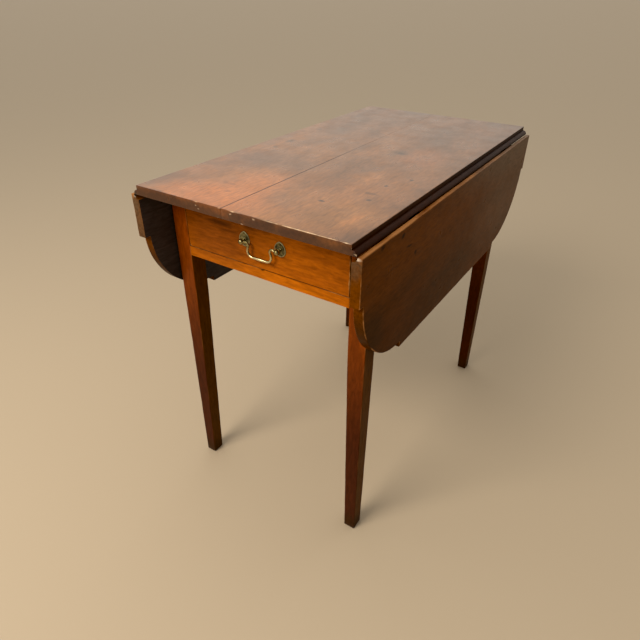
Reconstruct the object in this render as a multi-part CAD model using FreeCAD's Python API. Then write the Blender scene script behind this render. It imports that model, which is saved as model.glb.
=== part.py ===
import FreeCAD, Part
import math
import os

Vector = FreeCAD.Vector

# A small drop-leaf table with an end drawer, in millimetres. The drawer end faces -Y, +X is on the
# right of someone who faces the drawer, +Z is up, and the origin is on the floor under the middle.
# Both leaves hang down. Pieces of the left-hand side are mirror images of those on the right.

# Top
TABLE_HEIGHT = 720.0
TOP_LENGTH = 865.0
TOP_WIDTH = 448.0  # between the fillets of the two rule joints
TOP_THICKNESS = 18.0
SEAM_X = -22.0  # glue line between the two boards
SEAM_CHAMFER = 0.7
END_OVERHANG = 70.5  # past the legs at both ends
SIDE_OVERHANG = 4.0  # past the legs at both rule joints

# Leaves and rule joints
RULE_FILLET = 9.0
RULE_GAP = 0.8
LEAF_WIDTH = 249.0  # from the hinge line to the outer edge
LEAF_STEP = 12.0  # square step at each end of a rounded corner
LEAF_CORNER_RADIUS = 152.0

# Legs and rails
LEG_SQUARE = 36.0
LEG_STRAIGHT = 95.0  # below the rails, before the taper starts
FOOT_WIDTH = 25.0
FOOT_DEPTH = 28.0  # along the table
LEG_ARRIS = 1.2
APRON_DEPTH = 137.0
DRAWER_RAIL_HEIGHT = 21.0
UPPER_RAIL_HEIGHT = 18.0
BACK_RAIL_THICKNESS = 20.0
BACK_RAIL_SETBACK = 2.0
FLY_RAIL_THICKNESS = 16.0
FLY_RECESS = 4.0  # outer rails set in from the legs' outer faces

# Joints between legs and rails
TENON_SHOULDER = 4.0
TENON_EDGE = 14.0  # rail left above and below a deep tenon
TENON_LENGTH = 18.0
FRONT_TENON_DEPTH = 10.0
MORTISE_WALL = 2.0
DOVETAIL_FLARE = 2.0  # each side of a dovetail, from root to tip
JOINT_GAP = 0.1

# Fly brackets
FLY_LENGTH = 220.0  # from the pin to the tip
FLY_GAP = 0.4
FLY_TIP_SLANT = 14.0
FLY_PIN_RADIUS = 3.0
KNUCKLE_FINGERS = 5
PIN_GAP = 0.05

# Table hinges
HINGE_INSET = 190.0  # from the end of the top to the middle of a hinge
HINGE_WIDTH = 40.0
HINGE_TOP_REACH = 32.0
HINGE_LEAF_REACH = 48.0
HINGE_PLATE = 2.0
HINGE_BARREL_RADIUS = 4.0
HINGE_PIN_RADIUS = 1.8
HINGE_KNUCKLE = 10.0  # length of each outer knuckle
HINGE_GAP = 0.4

# Screws
SCREW_SHANK_RADIUS = 1.6
SCREW_HEAD_RADIUS = 3.2
SCREW_HEAD_DEPTH = 1.6
HINGE_SCREW_LENGTH = 12.0
HINGE_SCREW_FIRST = 15.0  # from the hinge line
HINGE_SCREW_STEP = 11.0
HINGE_SCREW_STAGGER = 9.0
WOOD_SCREW_BITE = 10.0
KICKER_SCREWS = 3
FLY_RAIL_SCREWS = 2

# Drawer and what guides it
STRIP_WIDTH = 18.0  # runners and kickers
RUNNER_HEIGHT = 16.0
GLUE_BLOCK_SQUARE = 20.0
GLUE_BLOCK_LENGTH = 60.0
GLUE_BLOCK_X = 80.0
DRAWER_LENGTH = 540.0
DRAWER_GAP = 1.0
DRAWER_LIFT = 0.3  # running clearance over the runners
DRAWER_FRONT_THICKNESS = 20.0
DRAWER_SIDE_THICKNESS = 11.0
DRAWER_SIDE_DROP = 4.0  # sides stand lower than the opening
DRAWER_BACK_THICKNESS = 12.0
DRAWER_BACK_DROP = 8.0
DRAWER_BOTTOM_THICKNESS = 7.0
DRAWER_BOTTOM_RISE = 8.0
DRAWER_GROOVE = 5.0
DOVETAIL_COUNT = 3
DOVETAIL_ROOT = 15.0  # width of a drawer dovetail at its root
DOVETAIL_LAP = 14.0  # into the drawer front
STOP_HEIGHT = 5.0
STOP_LENGTH = 12.0
STOP_WIDTH = 30.0
STOP_X = 100.0

# Handle
HANDLE_X = 2.0
POST_SPACING = 80.0
POST_STANDOFF = 9.5
POST_BALL_RADIUS = 5.8
POST_NECK_RADIUS = 3.2
POST_SHANK_RADIUS = 2.4
POST_TAIL = 8.0  # threaded end behind the drawer front
NUT_RADIUS = 6.0
NUT_THICKNESS = 4.0
ROSETTE_HALF_WIDTH = 12.5
ROSETTE_APEX = 16.8
ROSETTE_SHOULDER_X = 9.3  # where each side curves in towards the apex
ROSETTE_SHOULDER_Z = 9.2
ROSETTE_THICKNESS = 1.6
ROSETTE_BEVEL = 0.8
BAIL_RADIUS = 2.3
BAIL_SWELL_RADIUS = 3.0
BAIL_SWELL_LENGTH = 20.0
BAIL_DROP = 25.0
BAIL_CORNER_RADIUS = 11.0
BAIL_NECK_RADIUS = 2.7  # bend upwards beside a post
BAIL_NECK_SLOPE = 40.0  # degrees, at the end of that bend
BAIL_CURL_RADIUS = 5.2  # bend down into an arm
BAIL_ARM_SLANT = 16.0  # degrees from plumb; the arms spread downwards
BAIL_PIN_DEPTH = 3.0  # past the middle of a post's ball

# Places that follow from the sizes above
UNDERSIDE = TABLE_HEIGHT - TOP_THICKNESS
RULE_RADIUS = TOP_THICKNESS - RULE_FILLET
COVE_RADIUS = RULE_RADIUS + RULE_GAP
HINGE_X = TOP_WIDTH / 2
LEG_OUT_X = TOP_WIDTH / 2 - SIDE_OVERHANG
LEG_IN_X = LEG_OUT_X - LEG_SQUARE
LEG_OUT_Y = TOP_LENGTH / 2 - END_OVERHANG
LEG_IN_Y = LEG_OUT_Y - LEG_SQUARE
APRON_BOTTOM = UNDERSIDE - APRON_DEPTH
APRON_MIDDLE = UNDERSIDE - APRON_DEPTH / 2
OPENING_LOW = APRON_BOTTOM + DRAWER_RAIL_HEIGHT
OPENING_HIGH = UNDERSIDE - UPPER_RAIL_HEIGHT
FLY_OUT_X = LEG_OUT_X - FLY_RECESS
FLY_IN_X = FLY_OUT_X - FLY_RAIL_THICKNESS
BACK_RAIL_OUT_Y = LEG_OUT_Y - BACK_RAIL_SETBACK
BACK_RAIL_IN_Y = BACK_RAIL_OUT_Y - BACK_RAIL_THICKNESS
STRIP_IN_X = LEG_IN_X - STRIP_WIDTH
FRONT_Y = -LEG_OUT_Y
FLY_PIN_X = (FLY_IN_X + FLY_OUT_X) / 2
FLY_PIN_Y = -FLY_LENGTH / 2
FLY_TIP_Y = FLY_LENGTH / 2
FINGER_HEIGHT = APRON_DEPTH / KNUCKLE_FINGERS
DRAWER_OUT_X = LEG_IN_X - DRAWER_GAP
DRAWER_IN_X = DRAWER_OUT_X - DRAWER_SIDE_THICKNESS
DRAWER_FRONT_BACK = FRONT_Y + DRAWER_FRONT_THICKNESS
DRAWER_END = FRONT_Y + DRAWER_LENGTH
DRAWER_LOW = OPENING_LOW + DRAWER_LIFT
DRAWER_SIDE_TOP = OPENING_HIGH - DRAWER_SIDE_DROP
DRAWER_BACK_TOP = DRAWER_SIDE_TOP - DRAWER_BACK_DROP
BOTTOM_LOW = DRAWER_LOW + DRAWER_BOTTOM_RISE
BOTTOM_HIGH = BOTTOM_LOW + DRAWER_BOTTOM_THICKNESS
HANDLE_Z = (OPENING_LOW + OPENING_HIGH) / 2
UP = Vector(0, 0, 1)
OUT = Vector(1, 0, 0)
BACKWARD = Vector(0, 1, 0)
TINY = 1e-6  # two points closer than this are one


def box(low, high):
    """Block between two opposite corners."""
    low, high = Vector(*low), Vector(*high)
    size = high - low
    return Part.makeBox(size.x, size.y, size.z, low)


def outline(points):
    """Closed wire through points; a pair of points is the middle and the end of an arc."""
    edges = []
    here = points[0]
    for step in points[1:]:
        if isinstance(step, tuple):
            edges.append(Part.Arc(here, step[0], step[1]).toShape())
            here = step[1]
        else:
            edges.append(Part.LineSegment(here, step).toShape())
            here = step
    if not here.isEqual(points[0], TINY):
        edges.append(Part.LineSegment(here, points[0]).toShape())
    return Part.Wire(edges)


def prism(points, along):
    """Solid swept straight from an outline."""
    return Part.Face(outline(points)).extrude(along)


def rod(start, along, radius):
    """Round bar from start, as long as the vector along."""
    return Part.makeCylinder(radius, along.Length, start, along)


def fused(shapes):
    return shapes[0].fuse(shapes[1:]).removeSplitter()


def other_side(shape):
    """The same piece on the left-hand side."""
    return shape.mirror(Vector(0, 0, 0), Vector(1, 0, 0))


def other_end(shape):
    """The same piece at the drawer end."""
    return shape.mirror(Vector(0, 0, 0), Vector(0, 1, 0))


def wood_screw(head, along, length, gap=0.0):
    """Countersunk screw with its head flush at a point; a gap makes the hole that it fits."""
    shank_radius = SCREW_SHANK_RADIUS + gap
    shank = rod(head, along * (length + gap), shank_radius)
    cone = Part.makeCone(SCREW_HEAD_RADIUS + gap, shank_radius, SCREW_HEAD_DEPTH, head, along)
    return fused([shank, cone])


def spread(low, high, count):
    """Middles of equal spans between two limits."""
    span = (high - low) / count
    return [low + span * (i + 0.5) for i in range(count)]


# Hinges, drawn for the right-hand leaf

def hinge_places():
    """Middle of each hinge along the leaf."""
    reach = TOP_LENGTH / 2 - HINGE_INSET
    return [-reach, reach]


def hinge_line(y):
    return Vector(HINGE_X, y, UNDERSIDE)


def barrel(y, low, high, radius):
    """Round length on the hinge line, between two distances from the hinge's middle."""
    return rod(hinge_line(y + low), Vector(0, high - low, 0), radius)


def top_screw_heads(y):
    """Screw heads in the plate under the top."""
    return [
        Vector(HINGE_X - HINGE_SCREW_FIRST, y - HINGE_SCREW_STAGGER, UNDERSIDE),
        Vector(HINGE_X - HINGE_SCREW_FIRST - HINGE_SCREW_STEP, y + HINGE_SCREW_STAGGER, UNDERSIDE),
    ]


def leaf_screw_heads(y):
    """Screw heads in the plate on the leaf."""
    heads = []
    for i in range(3):
        side = HINGE_SCREW_STAGGER * (-1) ** i
        drop = HINGE_SCREW_FIRST + HINGE_SCREW_STEP * i
        heads.append(Vector(HINGE_X, y + side, UNDERSIDE - drop))
    return heads


def hinge_screws(heads, along, gap=0.0):
    return [wood_screw(head, along, HINGE_SCREW_LENGTH, gap) for head in heads]


def hinge_top_plate(y):
    """Short iron plate let into the underside of the top, with the two outer knuckles."""
    half = HINGE_WIDTH / 2
    inner = half - HINGE_KNUCKLE
    low = (HINGE_X - HINGE_TOP_REACH, y - half, UNDERSIDE)
    plate = box(low, (HINGE_X, y + half, UNDERSIDE + HINGE_PLATE))
    plate = plate.cut(barrel(y, -inner, inner, HINGE_BARREL_RADIUS + HINGE_GAP))
    knuckles = [
        barrel(y, -half, -inner, HINGE_BARREL_RADIUS),
        barrel(y, inner, half, HINGE_BARREL_RADIUS),
    ]
    pin_hole = barrel(y, -half, half, HINGE_PIN_RADIUS + PIN_GAP)
    screw_holes = hinge_screws(top_screw_heads(y), UP, PIN_GAP)
    return fused([plate] + knuckles).cut([pin_hole] + screw_holes)


def hinge_leaf_plate(y):
    """Long iron plate let into the leaf, with the middle knuckle."""
    half = HINGE_WIDTH / 2
    inner = half - HINGE_KNUCKLE
    low = (HINGE_X, y - half, UNDERSIDE - HINGE_LEAF_REACH)
    plate = box(low, (HINGE_X + HINGE_PLATE, y + half, UNDERSIDE))
    room = HINGE_BARREL_RADIUS + HINGE_GAP
    plate = plate.cut([
        barrel(y, -half, -inner + HINGE_GAP, room),
        barrel(y, inner - HINGE_GAP, half, room),
    ])
    knuckle = barrel(y, -inner + HINGE_GAP, inner - HINGE_GAP, HINGE_BARREL_RADIUS)
    pin_hole = barrel(y, -half, half, HINGE_PIN_RADIUS + PIN_GAP)
    screw_holes = hinge_screws(leaf_screw_heads(y), OUT, PIN_GAP)
    return fused([plate, knuckle]).cut([pin_hole] + screw_holes)


def hinge_pin(y):
    return barrel(y, -HINGE_WIDTH / 2, HINGE_WIDTH / 2, HINGE_PIN_RADIUS)


def top_gain(y):
    """Room cut in the top for a hinge: plate, barrel, and the leaf plate's way through the ovolo."""
    half = HINGE_WIDTH / 2
    low = (HINGE_X - HINGE_TOP_REACH, y - half, UNDERSIDE)
    plate = box(low, (HINGE_X, y + half, UNDERSIDE + HINGE_PLATE))
    wide = half + HINGE_GAP
    slot_top = UNDERSIDE + HINGE_PLATE + HINGE_GAP
    slot = box((HINGE_X, y - wide, UNDERSIDE), (HINGE_X + COVE_RADIUS, y + wide, slot_top))
    groove = barrel(y, -wide, wide, HINGE_BARREL_RADIUS + HINGE_GAP)
    return fused([plate, slot, groove])


def leaf_gain(y):
    """Shallow recess in the leaf for its hinge plate."""
    half = HINGE_WIDTH / 2
    low = (HINGE_X, y - half, UNDERSIDE - HINGE_LEAF_REACH)
    return box(low, (HINGE_X + HINGE_PLATE, y + half, UNDERSIDE))


# Top and leaves

def strip_screws(gap=0.0):
    """Screws up through a kicker and the upper rail into one board of the top."""
    length = UPPER_RAIL_HEIGHT + WOOD_SCREW_BITE
    middle_x = LEG_IN_X - STRIP_WIDTH / 2
    heads = [Vector(middle_x, y, OPENING_HIGH) for y in spread(-LEG_IN_Y, BACK_RAIL_IN_Y, KICKER_SCREWS)]
    heads.append(Vector(LEG_IN_X / 2, FRONT_Y + LEG_SQUARE / 2, OPENING_HIGH))
    return [wood_screw(head, UP, length, gap) for head in heads]


def top_board(seam):
    """Board from the glue line at x = seam to the ovolo edge that the right-hand leaf turns round."""
    y = -TOP_LENGTH / 2
    shoulder = RULE_RADIUS * math.sqrt(0.5)
    board = prism([
        Vector(seam, y, UNDERSIDE),
        Vector(HINGE_X + RULE_RADIUS, y, UNDERSIDE),
        (
            Vector(HINGE_X + shoulder, y, UNDERSIDE + shoulder),
            Vector(HINGE_X, y, UNDERSIDE + RULE_RADIUS),
        ),
        Vector(HINGE_X, y, TABLE_HEIGHT),
        Vector(seam + SEAM_CHAMFER, y, TABLE_HEIGHT),
        Vector(seam, y, TABLE_HEIGHT - SEAM_CHAMFER),
    ], Vector(0, TOP_LENGTH, 0))
    cuts = strip_screws(PIN_GAP)
    for place in hinge_places():
        cuts.append(top_gain(place))
        cuts += hinge_screws(top_screw_heads(place), UP, PIN_GAP)
    return board.cut(cuts)


def leaf_section():
    """The leaf's thickness with its cove and lip, run along the whole length."""
    y = -TOP_LENGTH / 2
    lip_z = UNDERSIDE - RULE_GAP
    lip_x = HINGE_X + math.sqrt(COVE_RADIUS ** 2 - RULE_GAP ** 2)
    shoulder = COVE_RADIUS * math.sqrt(0.5)
    low = UNDERSIDE - LEAF_WIDTH
    return prism([
        Vector(HINGE_X + TOP_THICKNESS, y, low),
        Vector(HINGE_X + TOP_THICKNESS, y, lip_z),
        Vector(lip_x, y, lip_z),
        (
            Vector(HINGE_X + shoulder, y, UNDERSIDE - shoulder),
            Vector(HINGE_X, y, UNDERSIDE - COVE_RADIUS),
        ),
        Vector(HINGE_X, y, low),
    ], Vector(0, TOP_LENGTH, 0))


def leaf_shape():
    """The leaf's outline with its two stepped round corners, through the whole thickness."""
    end = TOP_LENGTH / 2
    low = UNDERSIDE - LEAF_WIDTH
    centre_y = end - LEAF_STEP - LEAF_CORNER_RADIUS
    centre_z = low + LEAF_STEP + LEAF_CORNER_RADIUS
    slant = LEAF_CORNER_RADIUS * math.sqrt(0.5)

    def at(y, z):
        return Vector(HINGE_X, y, z)

    return prism([
        at(-end, UNDERSIDE),
        at(-end, centre_z),
        at(-end + LEAF_STEP, centre_z),
        (at(-centre_y - slant, centre_z - slant), at(-centre_y, low + LEAF_STEP)),
        at(-centre_y, low),
        at(centre_y, low),
        at(centre_y, low + LEAF_STEP),
        (at(centre_y + slant, centre_z - slant), at(end - LEAF_STEP, centre_z)),
        at(end, centre_z),
        at(end, UNDERSIDE),
    ], OUT * TOP_THICKNESS)


def leaf():
    wood = leaf_section().common(leaf_shape())
    cuts = []
    for place in hinge_places():
        cuts.append(leaf_gain(place))
        cuts += hinge_screws(leaf_screw_heads(place), OUT, PIN_GAP)
    return wood.cut(cuts)


# Legs and rails; tenons are drawn at the right-hand end, and a gap makes their mortises

def side_tenon(gap=0.0):
    """Tenon of the side rail in the back leg, stopping short of the back rail's tenon."""
    end = BACK_RAIL_IN_Y + TENON_SHOULDER - MORTISE_WALL
    low = (LEG_IN_X + TENON_SHOULDER - gap, LEG_IN_Y, APRON_BOTTOM + TENON_EDGE - gap)
    high = (FLY_IN_X - TENON_SHOULDER + gap, end + gap, UNDERSIDE - TENON_EDGE + gap)
    return box(low, high)


def back_tenon(gap=0.0):
    low = (LEG_IN_X, BACK_RAIL_IN_Y + TENON_SHOULDER - gap, APRON_BOTTOM + TENON_EDGE - gap)
    high = (
        LEG_IN_X + TENON_LENGTH + gap,
        BACK_RAIL_OUT_Y - TENON_SHOULDER + gap,
        UNDERSIDE - TENON_EDGE + gap,
    )
    return box(low, high)


def drawer_rail_tenon(gap=0.0):
    low = (LEG_IN_X, FRONT_Y + TENON_SHOULDER - gap, APRON_BOTTOM + TENON_SHOULDER - gap)
    high = (
        LEG_IN_X + TENON_LENGTH + gap,
        FRONT_Y + TENON_SHOULDER + FRONT_TENON_DEPTH + gap,
        OPENING_LOW - TENON_SHOULDER + gap,
    )
    return box(low, high)


def upper_rail_dovetail(gap=0.0):
    """Dovetail of the upper rail, dropped into the top of the front leg."""
    near = FRONT_Y + TENON_SHOULDER - gap
    far = FRONT_Y + TENON_SHOULDER + FRONT_TENON_DEPTH + gap
    low = OPENING_HIGH + TENON_SHOULDER - gap
    end = LEG_IN_X + TENON_LENGTH + gap
    return prism([
        Vector(LEG_IN_X, near + DOVETAIL_FLARE, low),
        Vector(end, near, low),
        Vector(end, far, low),
        Vector(LEG_IN_X, far - DOVETAIL_FLARE, low),
    ], UP * (UNDERSIDE - low))


def leg_section(width, depth, height):
    """Section of the back right leg: its outer faces stay plumb, its arrises are softened."""
    low_x, low_y = LEG_OUT_X - width, LEG_OUT_Y - depth
    soft = LEG_ARRIS
    hidden = soft * (1 - math.sqrt(0.5))

    def at(x, y):
        return Vector(low_x + x, low_y + y, height)

    return outline([
        at(soft, 0),
        at(width - soft, 0),
        (at(width - hidden, hidden), at(width, soft)),
        at(width, depth - soft),
        (at(width - hidden, depth - hidden), at(width - soft, depth)),
        at(soft, depth),
        (at(hidden, depth - hidden), at(0, depth - soft)),
        at(0, soft),
        (at(hidden, hidden), at(soft, 0)),
    ])


def plain_leg():
    """Square leg at the back right corner, tapered on its two inner faces down to the foot."""
    sections = [
        leg_section(FOOT_WIDTH, FOOT_DEPTH, 0),
        leg_section(LEG_SQUARE, LEG_SQUARE, APRON_BOTTOM - LEG_STRAIGHT),
        leg_section(LEG_SQUARE, LEG_SQUARE, UNDERSIDE),
    ]
    return Part.makeLoft(sections, True, True)


def back_leg():
    return plain_leg().cut([side_tenon(JOINT_GAP), back_tenon(JOINT_GAP)])


def front_leg():
    sockets = [
        other_end(side_tenon(JOINT_GAP)),
        drawer_rail_tenon(JOINT_GAP),
        upper_rail_dovetail(JOINT_GAP),
    ]
    return other_end(plain_leg()).cut(sockets)


def side_rail():
    """Inner rail between two legs, behind the fly bracket."""
    rail = box((LEG_IN_X, -LEG_IN_Y, APRON_BOTTOM), (FLY_IN_X, LEG_IN_Y, UNDERSIDE))
    whole = fused([rail, side_tenon(), other_end(side_tenon())])
    return whole.cut(fly_rail_screws(PIN_GAP))


def back_rail():
    low = (-LEG_IN_X, BACK_RAIL_IN_Y, APRON_BOTTOM)
    rail = box(low, (LEG_IN_X, BACK_RAIL_OUT_Y, UNDERSIDE))
    return fused([rail, back_tenon(), other_side(back_tenon())])


def drawer_rail():
    low = (-LEG_IN_X, FRONT_Y, APRON_BOTTOM)
    rail = box(low, (LEG_IN_X, -LEG_IN_Y, OPENING_LOW))
    return fused([rail, drawer_rail_tenon(), other_side(drawer_rail_tenon())])


def upper_rail():
    low = (-LEG_IN_X, FRONT_Y, OPENING_HIGH)
    rail = box(low, (LEG_IN_X, -LEG_IN_Y, UNDERSIDE))
    rail = fused([rail, upper_rail_dovetail(), other_side(upper_rail_dovetail())])
    screws = strip_screws(PIN_GAP)
    return rail.cut(screws + [other_side(screw) for screw in screws])


# Fly brackets on the right-hand side

def fly_axis(radius, low, high):
    return rod(Vector(FLY_PIN_X, FLY_PIN_Y, low), UP * (high - low), radius)


def fingers(first):
    """Lower and upper height of every second finger of the wooden knuckle."""
    lows = [APRON_BOTTOM + FINGER_HEIGHT * i for i in range(first, KNUCKLE_FINGERS, 2)]
    return [(low, low + FINGER_HEIGHT) for low in lows]


def knuckle_room(heights, radius, y_from, y_to):
    """Notches that leave room for the other half's fingers."""
    rooms = []
    for low, high in heights:
        low, high = low - FLY_GAP / 2, high + FLY_GAP / 2
        slot = box((FLY_PIN_X - radius, y_from, low), (FLY_PIN_X + radius, y_to, high))
        rooms.append(slot.fuse(fly_axis(radius, low, high)))
    return rooms


def fly_rail_front():
    """Fixed outer rail with the three outer fingers of the knuckle."""
    half = FLY_RAIL_THICKNESS / 2
    rail = box((FLY_IN_X, -LEG_IN_Y, APRON_BOTTOM), (FLY_OUT_X, FLY_PIN_Y, UNDERSIDE))
    rail = fused([rail, fly_axis(half, APRON_BOTTOM, UNDERSIDE)])
    rooms = knuckle_room(fingers(1), half, FLY_PIN_Y - half - FLY_GAP, FLY_PIN_Y + half)
    hole = fly_axis(FLY_PIN_RADIUS + PIN_GAP, APRON_BOTTOM, UNDERSIDE)
    return rail.cut(rooms + [hole] + fly_rail_screws(PIN_GAP))


def fly_rail_back():
    """Fixed outer rail past the fly bracket's tip, cut to the same slant."""
    start = FLY_TIP_Y + FLY_GAP
    rail = prism([
        Vector(FLY_IN_X, start, APRON_BOTTOM),
        Vector(FLY_OUT_X, start + FLY_TIP_SLANT, APRON_BOTTOM),
        Vector(FLY_OUT_X, LEG_IN_Y, APRON_BOTTOM),
        Vector(FLY_IN_X, LEG_IN_Y, APRON_BOTTOM),
    ], UP * APRON_DEPTH)
    return rail.cut(fly_rail_screws(PIN_GAP))


def fly_bracket():
    """Arm that swings out under the raised leaf, with the two inner fingers of the knuckle."""
    half = FLY_RAIL_THICKNESS / 2 - FLY_GAP
    low, high = APRON_BOTTOM + FLY_GAP, UNDERSIDE - FLY_GAP
    arm = prism([
        Vector(FLY_PIN_X - half, FLY_PIN_Y, low),
        Vector(FLY_PIN_X + half, FLY_PIN_Y, low),
        Vector(FLY_PIN_X + half, FLY_TIP_Y + FLY_TIP_SLANT - FLY_GAP, low),
        Vector(FLY_PIN_X - half, FLY_TIP_Y - FLY_GAP, low),
    ], UP * (high - low))
    arm = fused([arm, fly_axis(half, low, high)])
    wide = half + FLY_GAP
    rooms = knuckle_room(fingers(0), wide, FLY_PIN_Y - wide, FLY_PIN_Y + wide + FLY_GAP)
    return arm.cut(rooms + [fly_axis(FLY_PIN_RADIUS + PIN_GAP, low, high)])


def fly_pin():
    return fly_axis(FLY_PIN_RADIUS, APRON_BOTTOM, UNDERSIDE)


def fly_rail_screws(gap=0.0):
    """Screws from inside the frame, through the side rail into the two fixed outer rails."""
    length = FLY_IN_X - LEG_IN_X + WOOD_SCREW_BITE
    front = spread(-LEG_IN_Y, FLY_PIN_Y - FLY_RAIL_THICKNESS, FLY_RAIL_SCREWS)
    back = spread(FLY_TIP_Y + FLY_TIP_SLANT, LEG_IN_Y, FLY_RAIL_SCREWS)
    heads = [Vector(LEG_IN_X, y, APRON_MIDDLE) for y in front + back]
    return [wood_screw(head, OUT, length, gap) for head in heads]


# Runners, kickers, blocks and stops

def runner():
    low = (STRIP_IN_X, -LEG_IN_Y, OPENING_LOW - RUNNER_HEIGHT)
    return box(low, (LEG_IN_X, BACK_RAIL_IN_Y, OPENING_LOW))


def kicker():
    low = (STRIP_IN_X, -LEG_IN_Y, OPENING_HIGH)
    return box(low, (LEG_IN_X, BACK_RAIL_IN_Y, UNDERSIDE)).cut(strip_screws(PIN_GAP))


def glue_block():
    """Block in the corner of the back rail and the top."""
    half = GLUE_BLOCK_LENGTH / 2
    low = (GLUE_BLOCK_X - half, BACK_RAIL_IN_Y - GLUE_BLOCK_SQUARE, UNDERSIDE - GLUE_BLOCK_SQUARE)
    return box(low, (GLUE_BLOCK_X + half, BACK_RAIL_IN_Y, UNDERSIDE))


def drawer_stop():
    """Low block on the drawer rail that the closed drawer front meets."""
    near = DRAWER_FRONT_BACK + DRAWER_LIFT
    low = (STOP_X - STOP_WIDTH / 2, near, OPENING_LOW)
    return box(low, (STOP_X + STOP_WIDTH / 2, near + STOP_LENGTH, OPENING_LOW + STOP_HEIGHT))


# Drawer

def tails(root, tip, low, high, gap=0.0):
    """Dovetails of the right-hand side, wider at the tip; a gap makes their sockets."""
    root_half = DOVETAIL_ROOT / 2 + gap
    tip_half = root_half + DOVETAIL_FLARE
    end = tip + math.copysign(gap, tip - root)
    made = []
    for z in spread(low, high, DOVETAIL_COUNT):
        made.append(prism([
            Vector(DRAWER_IN_X - gap, root, z - root_half),
            Vector(DRAWER_IN_X - gap, root, z + root_half),
            Vector(DRAWER_IN_X - gap, end, z + tip_half),
            Vector(DRAWER_IN_X - gap, end, z - tip_half),
        ], OUT * (DRAWER_SIDE_THICKNESS + gap)))
    return made


def front_tails(gap=0.0):
    tip = DRAWER_FRONT_BACK - DOVETAIL_LAP
    return tails(DRAWER_FRONT_BACK, tip, DRAWER_LOW, DRAWER_SIDE_TOP, gap)


def back_tails(gap=0.0):
    root = DRAWER_END - DRAWER_BACK_THICKNESS
    return tails(root, DRAWER_END, BOTTOM_HIGH + JOINT_GAP, DRAWER_BACK_TOP, gap)


def drawer_bottom(gap=0.0):
    """Thin panel let into grooves in the front and sides, running out under the back."""
    half = DRAWER_IN_X + DRAWER_GROOVE + gap
    low = (-half, DRAWER_FRONT_BACK - DRAWER_GROOVE - gap, BOTTOM_LOW - gap)
    return box(low, (half, DRAWER_END, BOTTOM_HIGH + gap))


def handle_points():
    """Middle of each post at the face of the drawer front."""
    half = POST_SPACING / 2
    return [Vector(HANDLE_X + side * half, FRONT_Y, HANDLE_Z) for side in (-1, 1)]


def drawer_front():
    low = (-DRAWER_OUT_X, FRONT_Y, DRAWER_LOW)
    front = box(low, (DRAWER_OUT_X, DRAWER_FRONT_BACK, OPENING_HIGH - DRAWER_GAP))
    sockets = front_tails(JOINT_GAP)
    sockets += [other_side(socket) for socket in sockets]
    through = BACKWARD * DRAWER_FRONT_THICKNESS
    holes = [rod(point, through, POST_SHANK_RADIUS + PIN_GAP) for point in handle_points()]
    return front.cut(sockets + holes + [drawer_bottom(JOINT_GAP)])


def drawer_side():
    low = (DRAWER_IN_X, DRAWER_FRONT_BACK, DRAWER_LOW)
    side = box(low, (DRAWER_OUT_X, DRAWER_END - DRAWER_BACK_THICKNESS, DRAWER_SIDE_TOP))
    whole = fused([side] + front_tails() + back_tails())
    return whole.cut(drawer_bottom(JOINT_GAP))


def drawer_back():
    low = (-DRAWER_OUT_X, DRAWER_END - DRAWER_BACK_THICKNESS, BOTTOM_HIGH + JOINT_GAP)
    back = box(low, (DRAWER_OUT_X, DRAWER_END, DRAWER_BACK_TOP))
    sockets = back_tails(JOINT_GAP)
    return back.cut(sockets + [other_side(socket) for socket in sockets])


# Handle

def rosette(point):
    """Cast plate with a round foot and a pointed head, bevelled all round."""
    wide = ROSETTE_HALF_WIDTH

    def at(x, z):
        return point + Vector(x, 0, z)

    plate = prism([
        at(-wide, 0),
        (at(0, -wide), at(wide, 0)),
        (at(ROSETTE_SHOULDER_X, ROSETTE_SHOULDER_Z), at(0, ROSETTE_APEX)),
        (at(-ROSETTE_SHOULDER_X, ROSETTE_SHOULDER_Z), at(-wide, 0)),
    ], BACKWARD * -ROSETTE_THICKNESS)
    face_y = point.y - ROSETTE_THICKNESS
    rim = [edge for edge in plate.Edges if abs(edge.CenterOfMass.y - face_y) < ROSETTE_THICKNESS / 10]
    plate = plate.makeChamfer(ROSETTE_BEVEL, rim)
    return plate.cut(rod(point, BACKWARD * -ROSETTE_THICKNESS, POST_SHANK_RADIUS + PIN_GAP))


def post(point, inward):
    """Turned post with a ball that the bail's end turns in."""
    ball = point + BACKWARD * -POST_STANDOFF
    seat = point + BACKWARD * -ROSETTE_THICKNESS
    shank = rod(ball, BACKWARD * (POST_STANDOFF + DRAWER_FRONT_THICKNESS + POST_TAIL), POST_SHANK_RADIUS)
    neck = rod(ball, seat - ball, POST_NECK_RADIUS)
    head = Part.makeSphere(POST_BALL_RADIUS, ball)
    start = ball - inward * (BAIL_PIN_DEPTH + PIN_GAP)
    hole = rod(start, inward * (BAIL_PIN_DEPTH + POST_BALL_RADIUS * 2), BAIL_RADIUS + PIN_GAP)
    return fused([shank, neck, head]).cut(hole)


def nut(point):
    """Six-sided nut on the post's tail, inside the drawer."""
    seat = point + BACKWARD * DRAWER_FRONT_THICKNESS
    corners = []
    for i in range(6):
        turn = math.radians(60 * i)
        corners.append(seat + Vector(math.cos(turn), 0, math.sin(turn)) * NUT_RADIUS)
    along = BACKWARD * NUT_THICKNESS
    return prism(corners, along).cut(rod(seat, along, POST_SHANK_RADIUS + PIN_GAP))


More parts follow.
